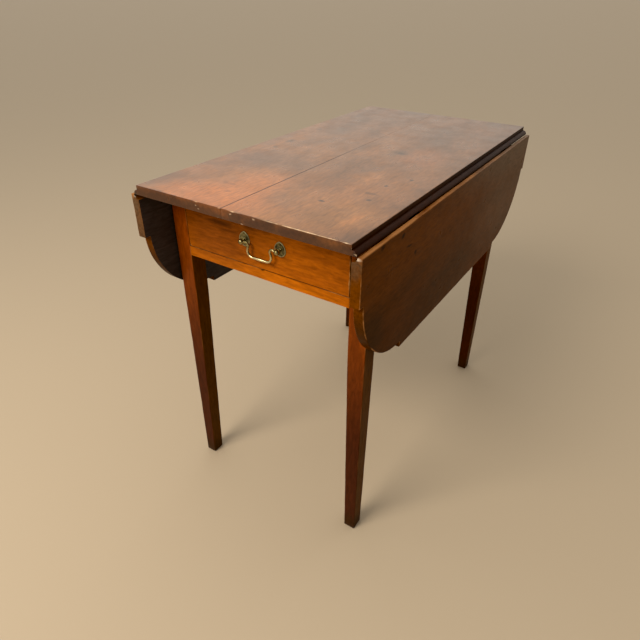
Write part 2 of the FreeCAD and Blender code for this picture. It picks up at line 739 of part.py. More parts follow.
def bail():
    """Swan-neck wire: a pin in each post, a neck that rises and curls down, an arm and a swelled bar."""
    middle = Vector(HANDLE_X, FRONT_Y - POST_STANDOFF, HANDLE_Z)
    half = POST_SPACING / 2
    neck = half - POST_BALL_RADIUS
    slope, slant = math.radians(BAIL_NECK_SLOPE), math.radians(BAIL_ARM_SLANT)
    both = BAIL_NECK_RADIUS + BAIL_CURL_RADIUS
    neck_middle = Vector(neck, 0, BAIL_NECK_RADIUS)
    curl_middle = neck_middle - Vector(math.sin(slope), 0, math.cos(slope)) * both

    def turned(radius, angle):
        return Vector(math.cos(angle), 0, math.sin(angle)) * radius

    arm_top = curl_middle + turned(BAIL_CURL_RADIUS, math.pi + slant)
    arm_low_z = BAIL_CORNER_RADIUS * (1 + math.sin(slant)) - BAIL_DROP
    arm_low = Vector(arm_top.x + (arm_top.z - arm_low_z) * math.tan(slant), 0, arm_low_z)
    corner_middle = arm_low - turned(BAIL_CORNER_RADIUS, slant)
    bar_end = corner_middle + turned(BAIL_CORNER_RADIUS, -math.pi / 2)

    def at(x, z):
        return middle + Vector(x, 0, z)

    def half_path(side):
        """Edges from the end of one pin to the middle of the bar."""
        def run(*places):
            points = [at(side * place.x, place.z) for place in places]
            return Part.LineSegment(*points) if len(points) == 2 else Part.Arc(*points)

        def bend(centre, radius, first, last):
            return run(*[centre + turned(radius, angle) for angle in (first, (first + last) / 2, last)])

        return [
            run(Vector(half + BAIL_PIN_DEPTH, 0, 0), Vector(neck, 0, 0)),
            bend(neck_middle, BAIL_NECK_RADIUS, 1.5 * math.pi, 1.5 * math.pi - slope),
            bend(curl_middle, BAIL_CURL_RADIUS, math.pi / 2 - slope, math.pi + slant),
            run(arm_top, arm_low),
            bend(corner_middle, BAIL_CORNER_RADIUS, slant, -math.pi / 2),
            run(bar_end, Vector(0, 0, -BAIL_DROP)),
        ]

    wires = []
    for side in (-1, 1):
        path = Part.Wire([piece.toShape() for piece in half_path(side)])
        start = at(side * (half + BAIL_PIN_DEPTH), 0)
        ring = Part.Wire(Part.makeCircle(BAIL_RADIUS, start, OUT))
        wires.append(path.makePipeShell([ring], True, False))
    swell_half = BAIL_SWELL_LENGTH / 2
    swell = [(-swell_half, BAIL_RADIUS), (0, BAIL_SWELL_RADIUS), (swell_half, BAIL_RADIUS)]
    rings = [Part.Wire(Part.makeCircle(r, at(x, -BAIL_DROP), OUT)) for x, r in swell]
    return fused(wires + [Part.makeLoft(rings, True, False)])


# Every piece by name

def build_pieces():
    pieces = {
        "top_board_right": top_board(SEAM_X),
        "top_board_left": other_side(top_board(-SEAM_X)),
        "drawer_rail": drawer_rail(),
        "upper_rail": upper_rail(),
        "back_rail": back_rail(),
        "drawer_front": drawer_front(),
        "drawer_back": drawer_back(),
        "drawer_bottom": drawer_bottom(),
        "handle_bail": bail(),
    }
    paired = {
        "leg_front": front_leg(),
        "leg_back": back_leg(),
        "side_rail": side_rail(),
        "fly_rail_front": fly_rail_front(),
        "fly_rail_back": fly_rail_back(),
        "fly_bracket": fly_bracket(),
        "fly_pin": fly_pin(),
        "drawer_runner": runner(),
        "drawer_kicker": kicker(),
        "drawer_stop": drawer_stop(),
        "drawer_side": drawer_side(),
        "leaf": leaf(),
    }
    leaf_screws = []
    plate_screws = []
    for end, y in zip(("front", "back"), hinge_places()):
        paired["hinge_top_plate_" + end] = hinge_top_plate(y)
        paired["hinge_leaf_plate_" + end] = hinge_leaf_plate(y)
        paired["hinge_pin_" + end] = hinge_pin(y)
        leaf_screws += hinge_screws(leaf_screw_heads(y), OUT)
        plate_screws += hinge_screws(top_screw_heads(y), UP)
    paired["hinge_screws_leaf"] = Part.makeCompound(leaf_screws)
    for name, shape in paired.items():
        pieces[name + "_right"] = shape
        pieces[name + "_left"] = other_side(shape)
    for side, point, inward in zip(("left", "right"), handle_points(), (OUT, OUT * -1)):
        pieces["handle_rosette_" + side] = rosette(point)
        pieces["handle_post_" + side] = post(point, inward)
        pieces["handle_nut_" + side] = nut(point)
    both_sides = {
        "hinge_screws_top": plate_screws,
        "top_screws": strip_screws(),
        "fly_rail_screws": fly_rail_screws(),
        "glue_blocks": [glue_block()],
    }
    for name, shapes in both_sides.items():
        pieces[name] = Part.makeCompound(shapes + [other_side(shape) for shape in shapes])
    return pieces


os.makedirs("parts", exist_ok=True)
for name, shape in build_pieces().items():
    shape.exportStep("parts/" + name + ".step")
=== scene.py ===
import math
from collections import namedtuple

import bmesh
import bpy
from mathutils import Matrix, Vector, noise


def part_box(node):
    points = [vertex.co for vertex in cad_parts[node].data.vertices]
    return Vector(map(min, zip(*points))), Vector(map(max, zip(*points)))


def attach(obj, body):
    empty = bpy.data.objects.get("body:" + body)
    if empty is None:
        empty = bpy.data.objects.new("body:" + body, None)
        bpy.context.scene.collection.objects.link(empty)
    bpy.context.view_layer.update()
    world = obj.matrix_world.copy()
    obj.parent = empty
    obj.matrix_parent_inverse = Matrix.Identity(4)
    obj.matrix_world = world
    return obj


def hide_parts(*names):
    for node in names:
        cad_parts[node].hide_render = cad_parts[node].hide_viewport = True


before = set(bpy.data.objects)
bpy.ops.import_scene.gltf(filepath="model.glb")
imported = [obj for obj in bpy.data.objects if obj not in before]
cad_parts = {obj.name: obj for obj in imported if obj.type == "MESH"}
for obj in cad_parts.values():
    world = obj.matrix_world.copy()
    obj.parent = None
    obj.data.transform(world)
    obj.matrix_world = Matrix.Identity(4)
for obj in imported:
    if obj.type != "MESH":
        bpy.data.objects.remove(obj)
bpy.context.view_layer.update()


# Legs. Four square sticks of cherry, planed, then tapered on the two inner faces down to the foot.
# Tenons of the rails are glued into their tops; old shellac covers them, rubbed thin along the arrises.
MM = 0.001
ACROSS, ALONG, UP = 0, 1, 2     # axes of the table: across its width, along its length and upwards
FOOT_WIDTH, FOOT_DEPTH = 25 * MM, 28 * MM
FOOT_EDGE = ((0, 1.6), (0.5, 0.6), (1.6, 0))    # height and inset of its worn lower edge, in millimetres
LEG_STRAIGHT = 95 * MM      # below the rails, before the taper starts
LEG_ARRIS = 1.3 * MM
LEG_STEP = 14 * MM          # between two rings of points up the leg
FLAT_BAND = 1.0 * MM        # flat strip beside an arris, so that the face shades flat
PLANE_WAVE = 0.12 * MM      # how far hand planing leaves a face from true
PLANE_STROKES = 6           # waves that it leaves in a metre
KNOCK_SPAN = 45 * MM        # length over which wear on an arris comes and goes
FINE_KNOCKS = 5             # small knocks come and go this many times as fast
BROAD_SHARE, FINE_SHARE = 0.7, 0.45     # wear that broad and small knocks add or take
LEAST_WEAR, MOST_WEAR = 0.35, 3
BARE_WEAR = 0.9             # wear at which the film starts to go through
ARRIS_TURNS = (0, 22.5, 45, 67.5, 90)
SHARP_TURN = 40             # degrees between two faces from which their edge is drawn sharp
SQUARE_ON = 0.9             # part of a normal along an axis from which a face looks that way
CHERRY_CLOUDS = (60, 520)   # millimetres across and along the grain: broad clouds of tone,
CHERRY_LINES = (9, 300)     # lines of growth,
CHERRY_FLECKS = (4.5, 20)   # flecks, finer in the real wood and here as coarse as they need to show,
CHERRY_RUBBED = (18, 110)   # and patches where the film is rubbed through
CHERRY_RELIEF = 0.25 * MM   # between the hard and the soft of the lines
SHELLAC_IOR = 1.5
NOTCH_SIZE, NOTCH_DEPTH = 35 * MM, 22 * MM      # of the ragged outline of a stain
STAIN_CORE = 0.25           # part of its reach within which a stain has its full strength
WHOLE = 9000                # reach of a stain that runs right across

MIX_A, MIX_B, MIX_RESULT = 6, 7, 2      # colour sockets of a mix node
Stain = namedtuple("Stain", "middle half strength tone ragged", defaults=[True])


def colour(code):
    """Linear colour from an sRGB hex value."""
    shares = [int(code[i:i + 2], 16) / 255 for i in (1, 3, 5)]
    return [s / 12.92 if s <= 0.04045 else ((s + 0.055) / 1.055) ** 2.4 for s in shares] + [1.0]


def add(tree, kind, inputs, **settings):
    """One shader node: settings are its options, inputs are values or the sockets that feed it."""
    made = tree.nodes.new("ShaderNode" + kind)
    for option, value in settings.items():
        setattr(made, option, value)
    for socket, value in inputs.items():
        if isinstance(value, bpy.types.NodeSocket):
            tree.links.new(value, made.inputs[socket])
        else:
            made.inputs[socket].default_value = value
    return made


def grain(along, across, length):
    """Scale of a pattern that is drawn out along one axis: its width and length in millimetres."""
    scale = [1 / (across * MM)] * 3
    scale[along] = 1 / (length * MM)
    return scale


def blank_material(name):
    """New material, with its node tree, its shader and the place on the object that patterns go by."""
    material = bpy.data.materials.new(name)
    material.use_nodes = True
    tree = material.node_tree
    return material, tree, tree.nodes["Principled BSDF"], add(tree, "TexCoord", {}).outputs["Object"]


def stained(tree, tone, stains, place, ragged_place):
    """Tone with stains over it: soft-edged ellipsoids with their middles and half sizes in millimetres."""
    for stain in stains:
        scale = [1 / (half * MM) for half in stain.half]
        inputs = {
            "Vector": ragged_place if stain.ragged else place,
            "Location": [-middle * MM * s for middle, s in zip(stain.middle, scale)],
            "Scale": scale,
        }
        local = add(tree, "Mapping", inputs)
        away = add(tree, "VectorMath", {0: local.outputs[0]}, operation="LENGTH").outputs["Value"]
        share = add(
            tree,
            "MapRange",
            {"Value": away, "From Min": 1.0, "From Max": STAIN_CORE, "To Max": stain.strength},
            interpolation_type="SMOOTHSTEP",
        )
        tone = add(
            tree,
            "Mix",
            {"Factor": share.outputs[0], MIX_A: tone, MIX_B: colour(stain.tone)},
            data_type="RGBA",
        ).outputs[MIX_RESULT]
    return tone


# Polished cherry: fine even wood under thin old shellac. The eye sees a warm translucent brown with soft
# streaks along the grain, a satin gloss that breaks up where the film is worn, and bare pale arrises.
def polished_cherry(name, along, tones, gloss, film, lines, stains=(), clouds=CHERRY_CLOUDS):
    pale, deep, worn = [colour(tone) for tone in tones]
    material, tree, shader, place = blank_material(name)

    def streaks(size, detail, distortion):
        scaled = add(tree, "Mapping", {"Vector": place, "Scale": grain(along, *size)})
        inputs = {"Vector": scaled.outputs[0], "Scale": 1.0, "Detail": detail, "Distortion": distortion}
        return add(tree, "TexNoise", inputs).outputs["Fac"]

    figure = streaks(clouds, 3, 0.4)
    figure_share = add(tree, "MapRange", {"Value": figure, "From Min": 0.32, "From Max": 0.68})
    base = add(
        tree,
        "Mix",
        {"Factor": figure_share.outputs[0], MIX_A: deep, MIX_B: pale},
        data_type="RGBA",
    )
    growth = streaks(CHERRY_LINES, 4, 0.8)
    growth_share = add(
        tree, "MapRange", {"Value": growth, "From Min": 0.45, "From Max": 0.72, "To Max": lines}
    )
    tone = add(
        tree,
        "Mix",
        {"Factor": growth_share.outputs[0], MIX_A: base.outputs[MIX_RESULT], MIX_B: deep},
        data_type="RGBA",
    ).outputs[MIX_RESULT]

    # Stains have ragged outlines, so one coarse noise shifts the place that they are measured from.
    ragged = add(tree, "TexNoise", {"Vector": place, "Scale": 1 / NOTCH_SIZE, "Detail": 4})
    shift = add(
        tree,
        "VectorMath",
        {0: ragged.outputs["Color"], 1: [NOTCH_DEPTH] * 3, 2: [-NOTCH_DEPTH / 2] * 3},
        operation="MULTIPLY_ADD",
    )
    moved = add(tree, "VectorMath", {0: place, 1: shift.outputs[0]}, operation="ADD")
    tone = stained(tree, tone, stains, place, moved.outputs[0])

    # Short dark and pale flecks show through everything: the figure of the wood, and dirt in its pores.
    flecks = streaks(CHERRY_FLECKS, 4, 0.6)
    fleck_tone = add(
        tree,
        "MapRange",
        {"Value": flecks, "From Min": 0.3, "From Max": 0.7, "To Min": 0.74, "To Max": 1.22},
    )
    tone = add(
        tree,
        "Mix",
        {"Factor": 1.0, MIX_A: tone, MIX_B: fleck_tone.outputs[0]},
        data_type="RGBA",
        blend_type="MULTIPLY",
    ).outputs[MIX_RESULT]

    # The film is rubbed through on the arrises, here more and there less.
    rubbed = add(tree, "Attribute", {}, attribute_name="worn")
    patchy = streaks(CHERRY_RUBBED, 3, 0.0)
    patches = add(tree, "MapRange", {"Value": patchy, "From Min": 0.36, "From Max": 0.56})
    bare = add(tree, "Math", {0: rubbed.outputs["Fac"], 1: patches.outputs[0]}, operation="MULTIPLY")
    tone = add(
        tree, "Mix", {"Factor": bare.outputs[0], MIX_A: tone, MIX_B: worn}, data_type="RGBA"
    ).outputs[MIX_RESULT]
    tree.links.new(tone, shader.inputs["Base Color"])

    dull = add(
        tree,
        "MapRange",
        {
            "Value": ragged.outputs["Fac"],
            "From Min": 0.3,
            "From Max": 0.7,
            "To Min": gloss - 0.03,
            "To Max": gloss + 0.05,
        },
    )
    tree.links.new(dull.outputs[0], shader.inputs["Roughness"])
    bump = add(tree, "Bump", {"Height": growth, "Strength": 0.22, "Distance": CHERRY_RELIEF})
    tree.links.new(bump.outputs[0], shader.inputs["Normal"])
    shader.inputs["IOR"].default_value = SHELLAC_IOR
    shader.inputs["Specular IOR Level"].default_value = film
    return material


def skin(name, rings):
    """Closed mesh through rings of equally many points; each point also says how worn it is."""
    made = bmesh.new()
    worn = made.verts.layers.float.new("worn")
    loops = []
    for ring in rings:
        loop = []
        for place, wear in ring:
            corner = made.verts.new(place)
            corner[worn] = wear
            loop.append(corner)
        loops.append(loop)
    for low, high in zip(loops, loops[1:]):
        for i in range(len(low)):
            made.faces.new((low[i - 1], low[i], high[i], high[i - 1]))
    made.faces.new(loops[0])
    made.faces.new(loops[-1])
    bmesh.ops.recalc_face_normals(made, faces=made.faces)
    mesh = bpy.data.meshes.new(name)
    made.to_mesh(mesh)
    made.free()
    piece = bpy.data.objects.new(name, mesh)
    bpy.context.scene.collection.objects.link(piece)
    return piece


def dress(piece, body, node, slot, *materials):
    """The piece stands for a node, rides on its body and takes its finish."""
    piece.data.shade_smooth()
    piece.data.set_sharp_from_angle(angle=math.radians(SHARP_TURN))
    for material in materials:
        piece.data.materials.append(material)
    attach(piece, body)
    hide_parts(node)


def refinish(piece, material, chosen):
    """The faces that a test picks take another of the piece's materials."""
    index = piece.data.materials.find(material.name)
    for face in piece.data.polygons:
        if chosen(face):
            face.material_index = index


def wear_at(place):
    """How much rounder than usual an arris is at a place."""
    broad = noise.noise(Vector(place) / KNOCK_SPAN)
    fine = noise.noise(Vector(place) * FINE_KNOCKS / KNOCK_SPAN)
    return max(LEAST_WEAR, 1 + BROAD_SHARE * broad + FINE_SHARE * fine)


def leg_ring(corner, inward, size, z, drawn_in, rubbed):
    """Section from the leg's outer corner inwards, with softened arrises."""
    low = Vector((
        min(corner.x, corner.x + inward.x * size.x),
        min(corner.y, corner.y + inward.y * size.y),
        z,
    ))
    ring = []
    for quarter, (right, back) in enumerate(((1, 1), (0, 1), (0, 0), (1, 0))):
        arris = low + Vector((right * size.x, back * size.y, 0))
        wear = wear_at(arris)
        soft = LEG_ARRIS * wear
        bared = rubbed * min(1, max(0, wear - BARE_WEAR))
        middle = low + Vector((
            size.x - soft - drawn_in if right else soft + drawn_in,
            size.y - soft - drawn_in if back else soft + drawn_in,
            0,
        ))
        for turn in ARRIS_TURNS:
            angle = math.radians(turn + 90 * quarter)
            out = Vector((math.cos(angle), math.sin(angle), 0)) * soft
            along = Vector((-math.sin(angle), math.cos(angle), 0)) * FLAT_BAND
            if turn == 0:
                ring.append((middle + out - along, 0.0))
            ring.append((middle + out, bared * math.sin(math.radians(2 * turn))))
            if turn == 90:
                ring.append((middle + out + along, 0.0))
    return ring


def worn_leg(name):
    """Leg in rings of points from the foot to the top, straight on its two outer faces."""
    low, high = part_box(name)
    taper_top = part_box("drawer_rail")[0].z - LEG_STRAIGHT
    narrow = Vector((FOOT_WIDTH, FOOT_DEPTH, 0))
    right, back = low.x > 0, low.y > 0
    corner = Vector((high.x if right else low.x, high.y if back else low.y, 0))
    inward = Vector((-1 if right else 1, -1 if back else 1, 0))
    foot = [(z * MM, drawn_in * MM) for z, drawn_in in FOOT_EDGE]
    steps = round((high.z - foot[-1][0]) / LEG_STEP)
    climb = (high.z - foot[-1][0]) / steps
    heights = foot + [(foot[-1][0] + climb * (i + 1), 0.0) for i in range(steps)]
    rings = []
    for z, drawn_in in heights:
        share = min(z / taper_top, 1)
        wave = PLANE_WAVE * (1 + noise.noise(Vector((corner.x, corner.y, z * PLANE_STROKES))))
        rings.append(leg_ring(corner, inward, narrow.lerp(high - low, share), z, drawn_in + wave, share))
    return skin(name + "_worn", rings)


# Darker towards the feet: dirt on the lower legs, with painted shade.
foot_dirt_and_shade = Stain((0, 0, 0), (WHOLE, WHOLE, 930), 1.0, "#421d0c", False)
floor_dirt = Stain((0, 0, 0), (WHOLE, WHOLE, 55), 0.7, "#33200a")
shaded_top = Stain((0, 0, 702), (WHOLE, WHOLE, 15), 0.8, "#241006", False)
cherry_legs = polished_cherry(
    "cherry_planed_shellac_upright", UP, ("#b95b0e", "#873d0a", "#c98a4e"),
    gloss=0.36, film=0.05, lines=0.5, stains=[foot_dirt_and_shade, floor_dirt, shaded_top],
)
# The same polish on the left and right faces of the legs, painted darker and duller as painted shade.
# Darker towards the feet on the sides too: dirt, with painted shade.
side_dirt_and_shade = Stain((0, 0, 0), (WHOLE, WHOLE, 860), 1.0, "#573512", False)
cherry_leg_sides_painted_shade = polished_cherry(
    "cherry_planed_shellac_upright_painted_shade", UP, ("#70440f", "#54310a", "#b07440"),
    gloss=0.4, film=0.02, lines=0.5, stains=[side_dirt_and_shade, floor_dirt, shaded_top],
)
for end in ("front", "back"):
    for side in ("left", "right"):
        name = f"leg_{end}_{side}"
        leg = worn_leg(name)
        dress(leg, "table_frame", name, "varnished_cherry_frame", cherry_legs, cherry_leg_sides_painted_shade)
        refinish(leg, cherry_leg_sides_painted_shade, lambda face: abs(face.normal.x) > SQUARE_ON)


# Rails across the frame. Cherry boards between the legs: a low one under the drawer and a deep one at the
# back, tenoned into the legs and polished with them. Their arrises were planed off and then worn.
RAIL_ARRIS = 0.8 * MM
POINT_SPACING = 6 * MM      # between points along an edge
CORNER_ROUND = 0.8 * MM
CORNER_TURNS = (0, 45, 90)
EDGE_RUN = 8                # levels of points across an edge, between its two arrises
SAME_WAY = 0.5              # two directions whose product is less meet in a corner

Side = namedtuple("Side", "start end edge centre", defaults=[None])


def softened(face, rise, soft, wear, rubbed=1):
    """Inset, height and bareness of the points round one arris, from the flat of a face to the edge."""
    radius = soft * wear
    bared = rubbed * min(1, max(0, wear - BARE_WEAR))
    levels = [(radius + FLAT_BAND, face, 0.0)]
    for turn in ARRIS_TURNS:
        angle = math.radians(turn)
        height = face + rise * radius * (1 - math.cos(angle))
        levels.append((radius * (1 - math.sin(angle)), height, bared * math.sin(2 * angle)))
    return levels


def square_edge(low, high, soft_low, soft_high, rubbed_low=1, rubbed_high=1):
    """Edge that runs straight from one face to the other."""
    def levels(wear):
        lower = softened(low, 1, soft_low, wear, rubbed_low)
        upper = softened(high, -1, soft_high, wear, rubbed_high)
        start, end = lower[-1][1], upper[-1][1]
        run = [(0.0, start + (end - start) * (i + 1) / (EDGE_RUN + 1), 0.0) for i in range(EDGE_RUN)]
        return lower + run + upper[::-1]
    return levels


def points_along(side):
    """Places along one side of an outline, each with the direction into the board."""
    if side.centre is None:
        way = (side.end - side.start).normalized()
        inward = Vector((-way.y, way.x))
        count = max(2, round((side.end - side.start).length / POINT_SPACING))
        return [(side.start.lerp(side.end, i / count), inward) for i in range(count + 1)]
    first, last = side.start - side.centre, side.end - side.centre
    sweep = last.angle_signed(first)
    count = round(abs(sweep) * first.length / POINT_SPACING)
    places = []
    for i in range(count + 1):
        out = Matrix.Rotation(sweep * i / count, 2) @ first
        places.append((side.centre + out, -out.normalized()))
    return places


def outline_points(sides):
    """Points round an outline, with the inward directions and edges that shape the board there."""
    walked = [points_along(side) for side in sides]
    points = []
    for i, side in enumerate(sides):
        place, inward = walked[i][0]
        last_inward = walked[i - 1][-1][1]
        pulls = [(inward, side.edge), (last_inward, sides[i - 1].edge)]
        if inward.dot(last_inward) > SAME_WAY:
            points.append((place, pulls[:1]))
        elif last_inward.cross(inward) > 0:
            middle = place + (inward + last_inward) * CORNER_ROUND
            for turn in CORNER_TURNS:
                angle = math.radians(turn)
                out = (last_inward * math.cos(angle) + inward * math.sin(angle)) * CORNER_ROUND
                points.append((middle - out, pulls))
        else:
            points.append((place, pulls))
        after = sides[(i + 1) % len(sides)]
        start_room, end_room = max(sides[i - 1].edge(MOST_WEAR))[0], max(after.edge(MOST_WEAR))[0]
        for place, inward in walked[i][1:-1]:
            if (place - side.start).length > start_room and (place - side.end).length > end_room:
                points.append((place, [(inward, side.edge)]))
    return points


def worn_board(name, sides, in_space, wear=wear_at):
    """Board with a flat outline, whose edges may each have a moulding, and with worn arrises."""
    columns = []
    for place, pulls in outline_points(sides):
        wear_here = min(wear(in_space(place.x, place.y, 0)), MOST_WEAR)
        shapes = [(inward, edge(wear_here)) for inward, edge in pulls]
        main = max((levels for inward, levels in shapes), key=lambda levels: max(levels)[0])
        column = []
        for k, (_, height, bared) in enumerate(main):
            spot = place.copy()
            for inward, levels in shapes:
                spot += inward * levels[k][0]
            column.append((in_space(spot.x, spot.y, height), bared))
        columns.append(column)
    return skin(name, list(zip(*columns)))


def rectangle(low, high, edges):
    """Four sides round a rectangle, each with its edge: lower, right, upper and left."""
    corners = [Vector(low), Vector((high[0], low[1])), Vector(high), Vector((low[0], high[1]))]
    return [Side(corners[i], corners[(i + 1) % 4], edges[i]) for i in range(4)]


def plain_board(name, low, high, thin, soft_low, soft_high, wear=wear_at):
    """Square-edged board; thin is the axis across its thickness."""
    first, second = [axis for axis in range(3) if axis != thin]
    edge = square_edge(low[thin], high[thin], soft_low, soft_high)
    sides = rectangle((low[first], low[second]), (high[first], high[second]), [edge] * 4)

    def in_space(a, b, t):
        place = Vector((0, 0, 0))
        place[first], place[second], place[thin] = a, b, t
        return place

    return worn_board(name, sides, in_space, wear)


rail_gouge = Stain((0.4, -362, 583), (7, 6, 3.5), 0.8, "#2a1304")
drawer_crack = Stain((-1, -362, 598), (5, 6, 5), 0.45, "#4a1f05")
scorch = Stain((-94, -362, 654), (46, 9, 8), 0.6, "#331706", False)
scorch_tail = Stain((-78, -362, 643), (32, 9, 4), 0.45, "#3d1c06", False)
# Painted shade under the top's overhang, with dirt.
overhang_shade_and_dirt = Stain((-12, -362, 668), (62, 9, 13), 0.6, "#2e1506")
smoke_line = Stain((-105, -362, 664), (60, 9, 3), 0.4, "#4f2406")
# Darker left half of the drawer front: smoke, with painted shade.
smoke_and_shade_left = Stain((-120, -362, 630), (200, 40, 110), 0.75, "#6a350f")
drawer_gap = Stain((0, -362, 586.2), (WHOLE, 8, 1.7), 0.75, "#241003", False)
left_gap = Stain((-184, -362, 650), (3, 8, 90), 0.9, "#241003", False)
right_gap = Stain((184, -362, 650), (3, 8, 90), 0.9, "#241003", False)
cherry_rails = polished_cherry(
    "cherry_planed_shellac_level", ACROSS, ("#c66d0a", "#984f0a", "#d39a58"),
    gloss=0.34, film=0.05, lines=0.65, stains=[
        smoke_and_shade_left, rail_gouge, drawer_crack, scorch, scorch_tail, overhang_shade_and_dirt, smoke_line,
        drawer_gap, left_gap, right_gap,
    ],
)


def worn_rail(name, thin):
    """Board between the legs; thin is the axis across its thickness."""
    leg_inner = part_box("leg_front_right")[0].x
    low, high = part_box(name)
    low.x, high.x = -leg_inner, leg_inner
    return plain_board(name + "_worn", low, high, thin, RAIL_ARRIS, RAIL_ARRIS)


dress(worn_rail("drawer_rail", UP), "table_frame", "drawer_rail", "varnished_cherry_frame", cherry_rails)
dress(worn_rail("back_rail", ALONG), "table_frame", "back_rail", "varnished_cherry_frame", cherry_rails)


# Side rails, fly rails, fly brackets and upper rail. Pine boards: the inner side rails carry the drawer's
# strips, the outer ones are cut into two fixed ends and an arm that turns on a wooden knuckle. The upper
# rail, over the drawer, has only its front edge polished with the legs.
PINE_LINES = (11, 380)      # millimetres across and along the grain: lines of growth
PINE_RELIEF = 0.3 * MM      # between the hard and the soft of the lines
PINE_ROUGHNESS = 0.72
DUST_SIZE = 90 * MM


# Aged bare pine: planed and never finished. It gives a dull honey brown with darker resin lines, and grey
# patches where dust lies in the grain.
def bare_pine(name, along, pale, deep):
    material, tree, shader, place = blank_material(name)
    scaled = add(tree, "Mapping", {"Vector": place, "Scale": grain(along, *PINE_LINES)})
    inputs = {"Vector": scaled.outputs[0], "Scale": 1.0, "Detail": 4, "Distortion": 1.2}
    growth = add(tree, "TexNoise", inputs).outputs["Fac"]
    resin = add(tree, "MapRange", {"Value": growth, "From Min": 0.42, "From Max": 0.68})
    wood = add(
        tree,
        "Mix",
        {"Factor": resin.outputs[0], MIX_A: colour(pale), MIX_B: colour(deep)},
        data_type="RGBA",
    )
    dust = add(tree, "TexNoise", {"Vector": place, "Scale": 1 / DUST_SIZE, "Detail": 5})
    grey = add(
        tree, "MapRange", {"Value": dust.outputs["Fac"], "From Min": 0.45, "From Max": 0.75, "To Max": 0.5}
    )
    aged = add(
        tree,
        "Mix",
        {"Factor": grey.outputs[0], MIX_A: wood.outputs[MIX_RESULT], MIX_B: colour("#4a3a2a")},
        data_type="RGBA",
    )
    tree.links.new(aged.outputs[MIX_RESULT], shader.inputs["Base Color"])
    bump = add(tree, "Bump", {"Height": growth, "Strength": 0.3, "Distance": PINE_RELIEF})
    tree.links.new(bump.outputs[0], shader.inputs["Normal"])
    shader.inputs["Roughness"].default_value = PINE_ROUGHNESS
    return material


def finish_node(name, material):
    """A CAD piece whose shape is right keeps it and gets its finish."""
    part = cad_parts[name].data
    part.materials.clear()
    part.materials.append(material)


pine_long = bare_pine("pine_planed_aged_lengthwise", ALONG, "#9c7443", "#6f4a25")
pine_cross = bare_pine("pine_planed_aged_crosswise", ACROSS, "#a37a48", "#75502a")
for side in ("left", "right"):
    for name in ("side_rail", "fly_rail_front", "fly_rail_back", "fly_bracket"):
        finish_node(f"{name}_{side}", pine_long)
upper_rail = worn_rail("upper_rail", UP)
dress(upper_rail, "table_frame", "upper_rail", "bare_pine", pine_cross, cherry_rails)
refinish(upper_rail, cherry_rails, lambda face: face.normal.y < -SQUARE_ON)


# Iron pins and screws. Hand-made wrought iron: a pin down each wooden knuckle, and screws that hold the
# fixed fly rails to the side rails and the top to the frame.
RUST_SIZE = 6 * MM
IRON_RELIEF = 0.2 * MM      # of the hammered and rusted skin
IRON_METALLIC = 0.85        # the rest is rust


# Forged iron: near black and dull from the fire, and brown where it has rusted.
def forged_iron(name):
    material, tree, shader, place = blank_material(name)
    crust = add(tree, "TexNoise", {"Vector": place, "Scale": 1 / RUST_SIZE, "Detail": 6})
    rust = add(tree, "MapRange", {"Value": crust.outputs["Fac"], "From Min": 0.45, "From Max": 0.65})
    crust_tone = add(
        tree,
        "Mix",
        {"Factor": rust.outputs[0], MIX_A: colour("#3c3632"), MIX_B: colour("#5b3a26")},
        data_type="RGBA",
    )
    tree.links.new(crust_tone.outputs[MIX_RESULT], shader.inputs["Base Color"])
    dull = add(tree, "MapRange", {"Value": rust.outputs[0], "To Min": 0.42, "To Max": 0.8})
    tree.links.new(dull.outputs[0], shader.inputs["Roughness"])
    bump = add(tree, "Bump", {"Height": crust.outputs["Fac"], "Strength": 0.4, "Distance": IRON_RELIEF})
    tree.links.new(bump.outputs[0], shader.inputs["Normal"])
    shader.inputs["Metallic"].default_value = IRON_METALLIC
    return material


iron = forged_iron("iron_forged_rusted")
for name in ("fly_pin_left", "fly_pin_right", "fly_rail_screws", "top_screws"):
    finish_node(name, iron)


# Runners, kickers, stops and glue blocks. Plain pine strips and blocks, sawn and rubbed into place with
# glue: the drawer runs on the lower strips, and the upper ones keep it from tipping and take the screws.
for name in ("drawer_runner", "drawer_kicker", "drawer_stop"):
    for side in ("left", "right"):
        finish_node(f"{name}_{side}", pine_long)
finish_node("glue_blocks", pine_cross)


# Drawer. A dovetailed pine box behind a cherry front that is flush with the legs. The front's arrises are
# knocked, most of all down its right-hand end and at the lower left corner.
DRAWER_ARRIS = 0.9 * MM
DRAWER_INNER_ARRIS = 0.3 * MM
TAILS_PROUD = 0.15 * MM     # the dovetails stand this much proud of the front's end grain
DRAWER_CHIPS = (            # place along x and z, reach and extra wear
    (-182, 588, 7, 2.4),
    (182, 650, 9, 1.8),
    (182, 612, 12, 2.6),
    (182, 630, 6, 1.5),
)


def drawer_wear(place):
    """Wear on the drawer front: the usual, and more at its chips."""
    wear = wear_at(place)
    for x, z, reach, extra in DRAWER_CHIPS:
        away = math.hypot(place.x - x * MM, place.z - z * MM) / (reach * MM)
        wear += extra * max(0, 1 - away)
    return wear


low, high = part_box("drawer_front")
low.x, high.x = low.x + TAILS_PROUD, high.x - TAILS_PROUD
front = plain_board(
    "drawer_front_worn", low, high, ALONG, DRAWER_ARRIS, DRAWER_INNER_ARRIS, drawer_wear
)
dress(front, "drawer", "drawer_front", "varnished_cherry_frame", cherry_rails)
for name in ("drawer_side_left", "drawer_side_right"):
    finish_node(name, pine_long)
for name in ("drawer_back", "drawer_bottom"):
    finish_node(name, pine_cross)


